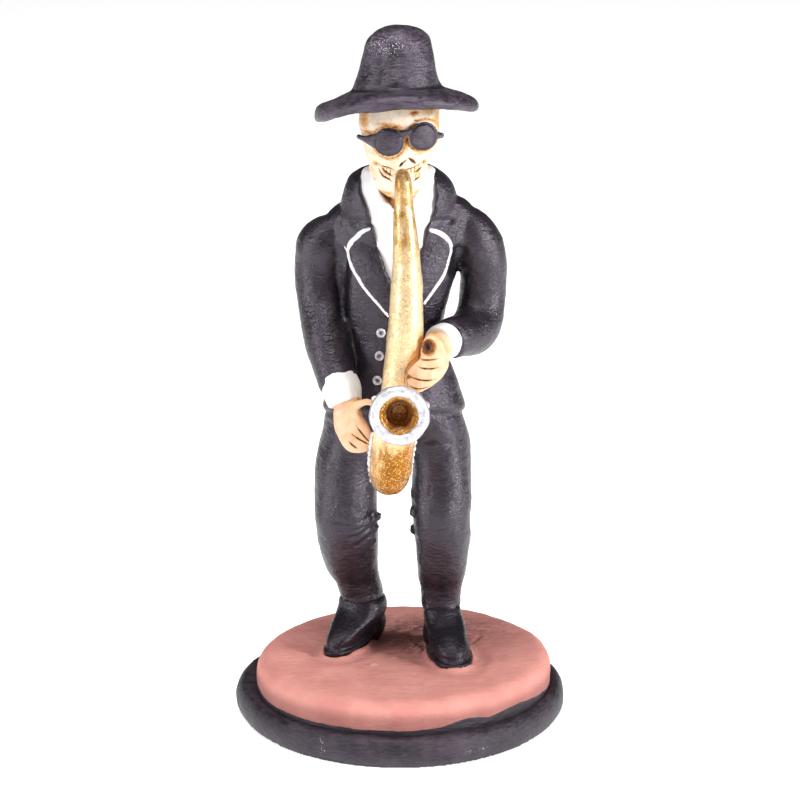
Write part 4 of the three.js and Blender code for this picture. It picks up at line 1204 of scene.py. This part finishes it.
bpy.context.view_layer.update()
piping = (RIGHT_PIPING, RIGHT_SPUR, LEFT_PIPING)
strips = [roll(laid_on(suit, line), across=(1, 0, 0.3), sides=14, spacing=0.4) for line in piping]
skin = Skin(wet_join("piping", *strips, grain=0.24, soften=3))
skin.lumps(1.2, 0.12, seed=11)
keep(skin.done(), "figure", white)

# %% Buttons
BUTTONS = [(-5.9, 127.3), (-6.4, 120), (-7.1, 112.2)]
BUTTON_RADIUS = 1.5
button_outline = [
    (0, -1.6),
    (BUTTON_RADIUS * 0.9, -1.6),
    (BUTTON_RADIUS, 0.2),
    *arc((BUTTON_RADIUS - 0.42, 0.3), (0.42, 0.42), 0, 180, 7),
    (0.45, -0.05),
    (0, -0.1),
]
forms = []
for x, z in BUTTONS:
    points, faces = turned(button_outline, 32)
    forms.append((points[:, [0, 2, 1]] * (1, -1, 1) + (x, front_of(suit, x, z) - 0.1, z), faces))
skin = Skin(wet_join("buttons", *forms, grain=0.16, soften=2))
# Each button is painted darker in its hollow middle.
for x, z in BUTTONS:
    skin.dab("dirt", ((x, z), (0.75, 0.75), 1.0))
skin.lumps(0.8, 0.1, seed=12)
keep(skin.done(), "figure", silver)

# %% [markdown]
# ## The head
# The skull is a stack of level slices, narrow at the jaw. The cheekbones and the brow are added as clay, the
# temples and the hollows under the cheeks are pressed in, and the face is drawn with a needle: two slits for
# the nose, a wide grin with two rows of teeth, and a few stray scratches on the bridge of the nose.

# %% Stations of the skull and lines of the face
SKULL = [
    [0.5, -4.4, 169.6, 2.8, 3.8], [-0.1, -3.6, 171.4, 5.6, 6.4], [-0.4, -2.8, 174.2, 7.4, 8.3],
    [-0.6, -2, 177.2, 8.7, 9.8], [-0.5, -0.9, 180.5, 9.2, 11], [-0.1, 0.1, 183.7, 10.4, 11.8],
    [0.1, 1, 187, 11.6, 12.4], [-0.2, 1.7, 191.2, 12.4, 12.7], [-0.2, 2, 196.5, 12.2, 12.4],
    [0, 2, 200, 10.8, 11], [0, 2, 202.2, 8, 8.4],
]
NOSE = [
    ([(-0.1, 181.1), (0.5, 181.8), (1.0, 182.2)], 0.38, 0.6),
    ([(0.9, 182.1), (1.4, 182.6), (1.9, 183.0)], 0.2, 0.2),
    ([(2.8, 183.5), (3.6, 182.8), (4.7, 181.7)], 0.42, 0.65),
]
GRIN = [
    [(-6.7, 179.9), (-6.1, 178.7), (-5.0, 177.5), (-3.7, 177.0), (-2.4, 176.3)],
    [(-5.8, 180.4), (-4.6, 179.3), (-3.3, 178.5), (-2.1, 178.0)],
    [(4.1, 176.0), (5.1, 176.5), (6.3, 177.1)],
    [(4.5, 178.8), (5.8, 179.3), (7.0, 180.2)],
]
FAINT_LINES = [
    [(-7.4, 181.4), (-5.8, 180.9), (-4.1, 180.7), (-2.4, 180.2), (-1.3, 179.4)],
    [(-0.2, 180.0), (1.0, 179.9), (3.0, 180.2), (4.9, 180.8), (6.2, 181.4), (7.2, 182.1)],
    [(7.3, 182.0), (7.2, 180.6)],
    [(-8.9, 175.8), (-7.4, 175.7)],
    [(4.0, 194.9), (6.2, 194.6)],
    [(1.7, 190.3), (2.3, 189.0), (2.0, 187.7)],
    [(2.6, 189.8), (1.6, 188.4)],
]
# The gaps between the teeth: across, top and bottom
TEETH = [
    (-5.0, 180.5, 179.2), (-4.1, 180.2, 178.8), (-3.0, 179.8, 178.5), (3.4, 180.0, 178.8),
    (4.5, 180.4, 179.0), (5.6, 180.9, 179.3), (-4.4, 178.3, 177.3), (-3.3, 177.9, 177.0),
    (4.9, 178.1, 176.8), (5.9, 178.6, 177.4),
]
print("the skull is", 2 * max(row[3] for row in SKULL), "mm across, with", len(TEETH), "gaps between teeth")

# %% The skull
skin = Skin(wet_join("skull", roll(SKULL, level=True, sides=72, dome=0.3), grain=0.27, soften=5))
CHEEKS = [((-8.6, 184), (3.4, 2.6), 0.5), ((8.4, 184.4), (3.2, 2.6), 0.5)]
HOLLOWS = [((-8.6, 178.2), (2.6, 3.0), -0.6), ((8.6, 178.4), (2.4, 3.0), -0.6)]
FEATURES = [((2.2, 185.5), (2.2, 3.6), 0.7), ((-0.5, 179), (6.5, 3.2), 0.5), ((0.5, 173), (4.5, 2.4), 0.4)]
for place, size, rise in CHEEKS + HOLLOWS + FEATURES:
    away = np.linalg.norm((skin.points[:, [0, 2]] - place) / np.array(size), axis=1)
    skin.push(rise * np.exp(-(away**2)) * skin.facing())
for line, width, depth in NOSE:
    skin.press([line], width, depth, wash=1.0, ends=0.5)
skin.press(GRIN, 0.27, 0.45, wash=0.85, ends=0.35)
skin.press(FAINT_LINES, 0.24, 0.25, wash=0.62, ends=0.3)
skin.press([[(x, top), (x, low)] for x, top, low in TEETH], 0.2, 0.22, wash=0.5)
skin.lumps(4, 0.3, seed=13)
print("the needle drew", len(NOSE) + len(GRIN) + len(FAINT_LINES) + len(TEETH), "lines")

# %% [markdown]
# The thin brown paint was wiped off the face with a cloth, which doesn't reach everywhere. It stayed round
# the glasses, under the brim, in the jaw and over the ears. Each of these stains is a soft dab. Shade is
# painted in as well: a ring round each lens for the glasses' shadow, and more brown wherever the head faces
# down or to the side.

# %% Wash on the face
EYES = [(-3.5, 188.2), (7.2, 190)]
EYE_HALF = (5.1, 4.9)
STAINS = [
    ((-8, 198.6), (5, 1.3), 0.55), ((-2, 199.6), (3, 1.0), 0.5), ((4, 199.4), (4, 1.2), 0.6),
    ((9.6, 198), (3, 2.0), 0.55), ((-11, 194.6), (1.8, 4), 0.5), ((11.4, 193.6), (1.4, 3), 0.45),
    ((4.4, 197), (1.6, 1.0), 0.7), ((-1.4, 192.9), (2.2, 0.9), 0.6), ((-9.5, 190.4), (3, 0.9), 0.6),
    ((-4, 193.6), (4, 0.7), 0.5), ((2.0, 188.6), (0.9, 3), 0.55), ((-3, 183.4), (3.0, 0.7), 0.3),
    ((-7.5, 184.4), (2.0, 0.6), 0.28), ((6.0, 184.5), (2.0, 0.8), 0.35),
    ((-7.4, 181.2), (1.2, 0.9), 0.55), ((7.3, 181.6), (0.9, 1.2), 0.55),
    ((-4.6, 178.8), (2.4, 1.3), 0.3), ((5.2, 179.2), (2.2, 1.3), 0.3), ((5.2, 171.8), (1.6, 1.4), 0.45),
    ((-4.8, 172), (2.6, 1.0), 0.5), ((5, 178), (1.6, 1.6), 0.3),
]
skin.dab("wash", *STAINS)
# Painted shadow of the glasses on the face, with brown wash in it: a ring round each lens.
skin.press([arc(eye, EYE_HALF) for eye in EYES], 0.5, 0.0, wash=0.5, curve=False)
# Painted shade: browner where the skull faces down, and a little where it faces sideways.
skin.mark("wash", 0.5 * smooth_step(-skin.normals[:, 2], 0.45, 0.9))
skin.mark("wash", 0.2 * smooth_step(np.abs(skin.normals[:, 0]), 0.7, 1.0))
keep(skin.done(), "figure", bone)

# %% [markdown]
# ## The hat
# The hat is one turned form: a crown that narrows to a domed top, and a brim that hangs lower at the sides
# than in front. It sits tilted back and leans a little to one side. A pinch at the front and a slanting top
# take away the turned look, and its rim thickens towards one tip as hand-rolled edges do.

# %% Sizes of the hat
HAT_PLACE = (-0.9, 0, 203)
HAT_TURN = Matrix.Rotation(math.radians(-3), 3, "Y") @ Matrix.Rotation(math.radians(-9.4), 3, "X")
CROWN_RADIUS = 13.5
CROWN_HEIGHT = 18.9
BRIM_RADIUS = 25.2
BRIM_THICKNESS = 4.4
SIDE_DROOP = 4.6
FRONT_DROOP = 2.2
UNDERSIDE = 4.6
DOME_HEIGHT = 6.3
DOME_RADIUS = CROWN_RADIUS - 3.1
TIP_REACH = 0.7
TIP_DROP = 0.9  # how far the underside of the right tip hangs down
TIP_SWELL = 1.2  # and how much thicker the tip is
CROWN_SHIFT = 0.7
CROWN_RISE = 0.25
CROWN_SLANT = 0.08
CROWN_FOOT = 14


def bend_brim(points):
    """Lets the brim hang, more at the sides than in front, and thickens its right tip."""
    radius = np.maximum(np.hypot(points[:, 0], points[:, 1]), 1e-6)
    out = np.clip((radius - CROWN_RADIUS) / (BRIM_RADIUS - CROWN_RADIUS), 0, None)
    sideways = (points[:, 0] / radius) ** 2
    tip = out * smooth_step(-points[:, 0], 8, 24)
    upper = smooth_step(points[:, 2], -0.8 * BRIM_THICKNESS, -0.2 * BRIM_THICKNESS)
    points[:, 0] -= TIP_REACH * tip
    droop = FRONT_DROOP + (SIDE_DROOP - FRONT_DROOP) * sideways
    points[:, 2] += tip * (TIP_SWELL * upper - TIP_DROP) - out * droop


def bend_crown(points):
    """Leans the crown to one side as it rises, and slants its top."""
    high = smooth_step(points[:, 2], CROWN_HEIGHT / 2, CROWN_HEIGHT)
    raised = smooth_step(points[:, 2], 2, CROWN_HEIGHT / 2)
    points[:, 2] += high * (CROWN_SLANT * points[:, 0] + CROWN_RISE)
    points[:, 0] += CROWN_SHIFT * raised


def on_head(points):
    return points @ np.array(HAT_TURN).T + HAT_PLACE


print("the brim is", 2 * BRIM_RADIUS, "mm across")

# %% The hat
half_edge = BRIM_THICKNESS / 2
flat = BRIM_RADIUS - half_edge - CROWN_RADIUS
reach = np.linspace(0, 1, 8)[1:-1]
hat_outline = [
    (0, -UNDERSIDE),
    (CROWN_RADIUS, -UNDERSIDE),
    *[(CROWN_RADIUS + flat * t, -UNDERSIDE + 0.2 * t) for t in reach],
    *arc((BRIM_RADIUS - half_edge, -half_edge), (half_edge, half_edge), -90, 90, 11),
    *[(BRIM_RADIUS - half_edge - (flat - 0.6) * t, 0) for t in reach],
    (CROWN_RADIUS + 0.6, 0),
    (CROWN_RADIUS - 0.2, 1.4),
    (CROWN_RADIUS - 1.1, 4.6),
    (CROWN_RADIUS - 2, 8),
    *arc((0, CROWN_HEIGHT - DOME_HEIGHT), (DOME_RADIUS, DOME_HEIGHT), 0, 86, 10),
    (0, CROWN_HEIGHT),
]
points, faces = turned(hat_outline, 128)
bend_brim(points)
bend_crown(points)
skin = Skin(wet_join("hat", (on_head(points), faces), grain=0.55, soften=3))
PINCH = [(-8.4, 216), (-7.8, 211.5), (-8, 207.5)]
skin.press([PINCH], 2.5, 0.9)
# A groove round the foot of the crown, painted dark as its shade.
round_crown = np.radians(np.linspace(-165, -15, 21))
foot = [CROWN_FOOT * np.cos(round_crown), CROWN_FOOT * np.sin(round_crown), np.full(21, 0.2)]
foot = np.stack(foot, axis=1)
bend_brim(foot)
skin.press([on_head(foot)], 1.3, 0.9, wash=0.9, curve=False, ends=0.5)
skin.lumps(8, 0.5, seed=14)
skin.lumps(2.2, 0.14, seed=15)
# Painted glints: white dots on the top of the crown, where it catches the light.
skin.dab("worn", ((-4.6, 217.4), (6, 2.6), 1.0))
keep(skin.done(), "hat", hat_paint)

# %% [markdown]
# ## The glasses
# Two flattened balls of clay are laid on the face, with a flat bar between them and one to each ear. The
# lenses are modelled shut, so they are painted like everything black here and not see-through.

# %% The glasses
EYE_HEIGHT = 189.3
LENSES = [((-3.5, -11.3, EYE_HEIGHT - 0.9), -12), ((7.2, -10.7, EYE_HEIGHT + 0.8), 24)]
LENS_HALF = (4.8, 1.1, 4.6)
LENS_RIM = 0.5
BRIDGE = [
    [-0.9, -11.7, EYE_HEIGHT + 1.5, 1.2, 0.7],
    [1.8, -12.2, EYE_HEIGHT + 2.2, 1, 0.7],
    [4.4, -11.6, EYE_HEIGHT + 2.2, 1.2, 0.7],
]
RIGHT_TEMPLE = [
    [-6.2, -11, EYE_HEIGHT - 0.7, 3, 0.8],
    [-8.6, -8.8, EYE_HEIGHT - 0.9, 2, 0.8],
    [-10.6, -6.4, EYE_HEIGHT - 1, 1.1, 0.7],
    [-12.4, -3.4, EYE_HEIGHT - 0.9, 0.8, 0.7],
    [-12.9, -0.4, EYE_HEIGHT - 1.3, 0.7, 0.6],
]
LEFT_TEMPLE = [
    [10.2, -9.3, EYE_HEIGHT + 0.8, 1.5, 0.7],
    [12, -5, EYE_HEIGHT - 0.1, 1, 0.8],
    [12.9, -2, EYE_HEIGHT - 0.7, 0.9, 0.7],
    [12.8, 0.4, EYE_HEIGHT - 1.2, 0.8, 0.6],
]
forms = [ball(centre, LENS_HALF, turn=(0, 0, turn)) for centre, turn in LENSES]
forms += [roll(bar, across=(0, 0, 1), sides=20, spacing=0.5) for bar in (BRIDGE, RIGHT_TEMPLE, LEFT_TEMPLE)]
skin = Skin(wet_join("sunglasses", *forms, grain=0.3, soften=3))
# A groove round each lens, painted darker as its shade.
for (x, _, z), turn in LENSES:
    half = (LENS_HALF[0] * math.cos(math.radians(turn)) - LENS_RIM, LENS_HALF[2] - LENS_RIM)
    skin.press([arc((x, z), half)], 0.35, 0.28, wash=0.8, curve=False)
skin.lumps(3, 0.15, seed=16)
keep(skin.done(), "sunglasses", glasses_paint)

# %% [markdown]
# ## The hands
# Each hand is a flat pat of clay, cut to an outline and bent round the horn, with lines pressed in for the
# fingers. `pat` builds one from that outline and from how far forward its front and back lie along the hand.
# The left hand is a fist with a hollow in the thumb, and the right one lies against the bow.

# %% A pat of clay
PAT_EDGE = 0.55  # 1 gives a pat that thins evenly to its edge, less gives a fuller one


def rounded(outline, passes=3):
    """Cuts the corners off a closed outline until it's smooth."""
    ring = np.array(outline, float)
    for _ in range(passes):
        after = np.roll(ring, -1, axis=0)
        ring = np.stack([0.75 * ring + 0.25 * after, 0.25 * ring + 0.75 * after], axis=1).reshape(-1, 2)
    return ring


def pat(outline, depths, rings=24):
    """A pat of clay from its outline, x and z, and rows of x, z, front and back down the hand."""
    edge = rounded(outline)
    middle = edge.mean(axis=0)
    stops = np.array(depths, float)
    way = stops[-1, :2] - stops[0, :2]
    layers = []
    for bend in np.linspace(np.pi, 0, rings + 1):
        place = middle + (edge - middle) * max(0, math.sin(bend)) ** PAT_EDGE
        front, back = (np.interp(place @ way, stops[:, :2] @ way, stops[:, k]) for k in (2, 3))
        depth = (front + back) / 2 + (front - back) / 2 * math.cos(bend)
        layers.append(np.stack([place[:, 0], depth, place[:, 1]], axis=1))
    tips = [layers[0][:1], layers[-1][:1]]
    return np.concatenate([*layers[1:-1], *tips]), ring_faces(rings - 1, len(edge))


def wash_and_turned_shade(skin):
    """A thin wash all over a hand, and painted shade where the hand turns away from the front: the further it
    turns, the darker.
    """
    skin.mark("wash", np.full(len(skin.points), 0.04))
    skin.mark("wash", 0.36 * smooth_step(-skin.facing(least=0.1), -0.9, -0.3))


print("hand helpers", [helper.__name__ for helper in (rounded, pat, wash_and_turned_shade)])

# %% The hand on the bow
RIGHT_OUTLINE = [
    (-15.2, 110.3), (-18.6, 108.4), (-20.9, 105), (-20.4, 99.6), (-18.1, 95.2), (-15.8, 93.4),
    (-12.6, 93.3), (-9.2, 94.5), (-7.8, 96), (-9.2, 100.4), (-11.6, 103.6), (-12.6, 106.6),
    (-12.2, 109.2),
]
RIGHT_DEPTHS = [
    (-16, 109, -18.8, -12), (-13.6, 104.4, -21, -15), (-11.2, 99.8, -23.5, -18), (-8.5, 94.8, -27, -23),
]
RIGHT_GROOVES = [
    [(-13.8, 102), (-12.1, 99.9), (-10.2, 98), (-8.1, 96.4)],
    [(-15.4, 99.5), (-13, 98), (-10.8, 97), (-8.6, 95.9)],
    [(-16.1, 97.2), (-14.5, 95.8), (-12.9, 94.9)],
]
RIGHT_THUMB = [
    [-13.6, -19.4, 107.3, 1.4], [-11.9, -21.4, 108.6, 1.2], [-10.3, -22.3, 109.2, 1],
    [-8.4, -22.6, 108.9, 0.8],
]
thumb = roll(RIGHT_THUMB, across=(0, 1, 0), sides=24, dome=0.9, spacing=0.4)
skin = Skin(wet_join("hand_right", pat(RIGHT_OUTLINE, RIGHT_DEPTHS), thumb, grain=0.3, soften=4))
skin.press(RIGHT_GROOVES, 0.25, 0.5, wash=0.9, ends=0.25)
skin.dab("wash", ((-8.4, 96), (1.3, 1.6), 0.7))
skin.dab("wash", ((-10.6, -22, 105.6), (1.6, 3.4, 1.8), 0.8), ((-13.2, -17.4, 108.6), (2.4, 2.6, 1.0), 0.6))
wash_and_turned_shade(skin)
skin.lumps(3, 0.2, seed=17)
keep(skin.done(), "figure", hand_bone)

# %% The fist
LEFT_OUTLINE = [
    (6.4, 124.2), (3.6, 122.2), (2.1, 119.4), (2, 115.8), (3.6, 113.8), (6.4, 113.2), (10, 114.6),
    (13.4, 117), (15.2, 120.2), (14.6, 125.4), (12.6, 129.6), (9.4, 131.3), (6.9, 129.8), (6.2, 127),
]
LEFT_DEPTHS = [(2, 118, -27.5, -25.5), (5.5, 118, -28.8, -24.5), (9.5, 118, -28, -17), (14.5, 118, -25, -14)]
LEFT_GROOVES = [
    [(4.8, 122.6), (6.1, 121.9), (9.2, 121.3), (12.6, 121.3)],
    [(2.0, 119.6), (3.2, 118.8), (4.9, 118.2), (7.9, 117.6), (11.6, 117.7)],
    [(1.9, 116.6), (3.2, 115.5), (4.9, 115), (8, 114.9), (10.4, 115.6)],
]
THUMB_CREASE = [(6, 124.3), (8.8, 124.1), (11.6, 124.1)]
LEFT_WRIST = [
    [15.2, -10.8, 126.2, 4.4], [12.2, -15.6, 124.8, 4.6], [10.8, -18.6, 122.6, 4.4],
]
wrist = roll(LEFT_WRIST, across=(0, 0, 1), sides=24, spacing=0.5)
fist = wet_join("hand_left", pat(LEFT_OUTLINE, LEFT_DEPTHS), wrist, grain=0.3, soften=4)
fist = knife(fist, lump("thumb_hollow", ball((8.7, -26.6, 127.8), (2.5, 3.4, 2.8))))
skin = Skin(wet_join("hand_left", form_of(fist), grain=0.3, soften=2))
skin.press(LEFT_GROOVES, 0.28, 0.5, wash=0.8, behind=-18, ends=0.25)
skin.press([THUMB_CREASE], 0.4, 0.5, wash=0.6, behind=-18, ends=0.5)
skin.dab("wash", ((8.2, -24.6, 127.2), (3.0, 3.2, 2.5), 0.8), ((2.6, -27, 118.6), (1.2, 2, 1.0), 0.8))
wash_and_turned_shade(skin)
skin.lumps(3, 0.2, seed=18)
keep(skin.done(), "figure", hand_bone)

# %% [markdown]
# ## The saxophone
# The horn runs as one cone from the lips down to the bow, turns up again and opens in a bell that looks
# forward. Its wall is cut hollow at the bell, and the hollow has the ridges that the tool left.

# %% Stations of the horn
SAX_BODY = [
    [0.3, -10.2, 180, 1.7], [0.7, -12.2, 177.4, 2.4], [1.2, -13.7, 168, 3.15],
    [1.8, -15.2, 158.7, 3.95], [2.1, -17.1, 146.6, 4.7], [1.8, -19, 133.5, 5.4], [0.6, -20.1, 118, 5.8],
    [-1.2, -20.6, 103, 6.2], [-2.9, -21, 89, 6.2],
]
SAX_BOW = [
    [-3.3, -26.8, 82.3, 2.4, 5.4], [-3.3, -26.8, 83.2, 4.1, 8.6], [-3.2, -26.8, 85.1, 5.6, 11],
    [-3.1, -26.8, 88, 6.4, 12.3], [-2.8, -26.8, 91.5, 6.5, 12.5], [-2.5, -26.8, 94.5, 6.2, 12.2],
]
SAX_THROAT = [
    [-2.9, -32.8, 89, 6.3], [-2.4, -32.9, 96, 6.4], [-1.6, -33.7, 102.5, 6.5],
    [-0.8, -36.6, 107.2, 6.9], [-0.2, -39.4, 108.9, 6.9],
]
BELL_CENTRE = (-0.2, -41.2, 110.3)
BELL_RISE = 10  # degrees above level that the bell looks
BELL_RADIUS = 9.2
BELL_HOLE_RADIUS = 4.9
BELL_HOLE_DEPTH = 9
LIP_RADIUS = 1.6
RIDGE_SPACING = 1.4
RIDGE_HEIGHT = 0.36
BELL_LEAN = np.array(Matrix.Rotation(math.radians(90 - BELL_RISE), 3, "X"))


def at_bell(form):
    """Places a turned form in the bell, with its mouth at zero height."""
    points, faces = form
    return points @ BELL_LEAN.T + BELL_CENTRE, faces


def about_bell(points):
    """How far points stand out of the bell's mouth, and how far they are from its axis."""
    out = BELL_LEAN @ np.array((0, 0, 1))
    mouth = (points - BELL_CENTRE) @ out
    return mouth, np.linalg.norm(points - BELL_CENTRE - mouth[:, None] * out, axis=1)


print("the bell is", 2 * BELL_RADIUS, "mm across, and its hollow", BELL_HOLE_DEPTH, "mm deep")

# %% The horn
bell_outline = [
    (0, -5.5), (6.6, -5.5), (7.6, -3),
    *arc((BELL_RADIUS - LIP_RADIUS - 0.2, -0.4), (LIP_RADIUS, LIP_RADIUS), -50, 100, 10),
    (BELL_HOLE_RADIUS + 0.5, 0.5),
    (0, 0.5),
]
hollow_outline = [(0, -BELL_HOLE_DEPTH)]
for z in np.linspace(-BELL_HOLE_DEPTH, 0, 61)[1:]:
    width = math.cos(-z / BELL_HOLE_DEPTH * math.pi / 2) ** 0.4
    ridge = RIDGE_HEIGHT * math.sin(z * 2 * math.pi / RIDGE_SPACING)
    hollow_outline.append((BELL_HOLE_RADIUS * width + ridge, z))
hollow_outline += [(BELL_HOLE_RADIUS + 0.9, 2), (0, 2)]
horn = wet_join(
    "saxophone_horn",
    roll(SAX_BODY, dome=0.8),
    roll(SAX_BOW, level=True, sides=48, dome=0.4, spacing=0.6),
    roll(SAX_THROAT, dome=0.05),
    at_bell(turned(bell_outline, 72)),
    grain=0.5,
    soften=6,
)
horn = form_of(knife(horn, lump("hollow", at_bell(turned(hollow_outline, 96)))))
horn = wet_join("saxophone_horn", horn, grain=0.3, soften=1)

# %% [markdown]
# The gold is painted pale cream half way up as a painted highlight, less so above, and stays amber round the
# bow, with a paler patch at its left. Brown wash lies in the bell's hollow, darker deeper in as painted
# shade, and beside the fist.

# %% Painted highlight and wash on the horn
skin = Skin(horn)
skin.lumps(7, 0.3, seed=19)
skin.lumps(1.6, 0.10, seed=20)
# Painted highlight: pale cream half way up, and less at the top.
up = skin.points[:, 2]
worn = 0.06 + 0.36 * smooth_step(up, 130, 160) + 0.9 * smooth_step(up, 94, 107) * smooth_step(-up, -162, -136)
skin.mark("worn", worn)
# A paler patch at the left of the bow, also painted highlight.
bow_side = (skin.points[:, [0, 2]] - (-8.2, 93)) / (3.2, 6)
skin.marks["worn"] += 0.3 * np.exp(-((bow_side**2).sum(axis=1)))
mouth, from_axis = about_bell(skin.points)
in_hollow = (from_axis < BELL_HOLE_RADIUS + 0.25) & (mouth > -BELL_HOLE_DEPTH - 1) & (mouth < 0.4)
skin.marks["worn"][in_hollow] = 0.25
skin.marks["worn"][(from_axis < BELL_HOLE_RADIUS + 1.2) & (np.abs(mouth) < 1.2)] = 0.2
# Brown in the hollow, darker the deeper it goes, which is painted shade.
skin.mark("wash", in_hollow * smooth_step(-mouth, 0.6, 5.0) * (0.25 + 0.9 * skin.clouds(1.6)))
beside_hand = [(6.8, 124.7), (5.2, 124), (3.4, 122.7), (2.1, 121), (1.5, 118.5), (1.5, 116), (2.6, 113)]
skin.press([beside_hand], 0.42, 0.0, wash=0.6, behind=0, ends=0.3)
skin.dab("wash", ((3.4, -27, 115.2), (3.0, 3.0, 1.2), 0.5), ((5.4, -21.6, 126.5), (1.6, 3.4, 6), 0.35))
keep(skin.done(), "saxophone", gold)

# %% [markdown]
# The rim of the bell is a thick silver ring, a turned form whose section is a flattened oval. Its face
# catches light in the middle and turns grey at both edges. The keys are silver strips with gaps in them down
# both sides of the bow. Each strip is a row of small balls.

# %% The bell's ring
RING_INSIDE = BELL_HOLE_RADIUS + 0.6  # the horn's gold lip shows inside the ring
ring_middle = (BELL_RADIUS + RING_INSIDE) / 2
ring_half = (BELL_RADIUS - RING_INSIDE) / 2
section = arc((ring_middle, -0.1), (ring_half, 1.65))[:-1]
sides = 96
faces = []
for i in range(len(section)):
    here, after = i * sides, (i + 1) % len(section) * sides
    faces += [[here + j, here + (j + 1) % sides, after + (j + 1) % sides, after + j] for j in range(sides)]
ring = at_bell((np.concatenate(spun(section, sides)), faces))
skin = Skin(wet_join("bell_rim", ring, grain=0.34, soften=2))
skin.lumps(3.4, 0.35, seed=21)
# Painted shade: grey towards both edges of the ring, where its round face turns away.
_, from_axis = about_bell(skin.points)
skin.mark("dirt", 0.6 * smooth_step(np.abs(from_axis - ring_middle), ring_half * 0.55, ring_half * 1.05))
keep(skin.done(), "saxophone", silver)

# %% The keys
KEY_STRIPS = [
    [[-8.4, -29, 100.5, 0.8], [-9.1, -29.2, 95.5, 0.8], [-9.3, -29, 91, 0.8], [-8.7, -28.6, 86.2, 0.7]],
    [[4.8, -29.4, 100.6, 0.8], [4.1, -29.6, 96.5, 0.8], [3.6, -29.4, 92.5, 0.8], [3.1, -28.8, 88.6, 0.7]],
]
KEY_KNOBS = [
    [[4.2, -21.4, 107.6, 0.9], [6.4, -23.2, 108.4, 1], [7.8, -24.2, 108.6, 1.5]],
    [[-5.4, -22, 110, 0.9], [-7, -23, 110.4, 0.9], [-7.8, -23.6, 110.6, 1.1]],
]
forms = []
for strip in KEY_STRIPS:
    for x, y, z, half, _ in flow(strip, 1.9):
        forms.append(ball((x, y, z), (half, 1.3, 1.05)))
forms += [roll(stalk, across=(0, 0, 1), sides=20, dome=0.9, spacing=0.4) for stalk in KEY_KNOBS]
skin = Skin(wet_join("saxophone_keys", *forms, grain=0.26, soften=2))
skin.lumps(1.2, 0.2, seed=22)
keep(skin.done(), "saxophone", silver)

# %% [markdown]
# ## The floor
# The floor is a plain pale sheet that runs past the edges of the picture.

# %% The floor
FLOOR_HALF = 4.0  # metres
FLOOR_GLOW = 0.7
material, tree, shader = blank_paint("floor_paper")
fibres = mottle(tree, 30, detail=2)
tree.links.new(blend(tree, fibres, (0.90, 0.90, 0.90), (0.93, 0.93, 0.93)), shader.inputs["Base Color"])
shader.inputs["Roughness"].default_value = 0.9
shader.inputs["Emission Color"].default_value = (1, 1, 1, 1)
shader.inputs["Emission Strength"].default_value = FLOOR_GLOW
corners = [(x * FLOOR_HALF, y * FLOOR_HALF, 0) for x, y in ((-1, -1), (1, -1), (1, 1), (-1, 1))]
mesh = bpy.data.meshes.new("floor")
mesh.from_pydata(corners, [], [[0, 1, 2, 3]])
mesh.materials.append(material)
floor = bpy.data.objects.new("floor", mesh)
bpy.context.scene.collection.objects.link(floor)
print("the floor is", 2 * FLOOR_HALF, "m wide")

# %% [markdown]
# ## The end
# The last cell brings the scene up to date. The dressed figure has to keep the size of the plain solids.

# %% The end
bpy.context.view_layer.update()
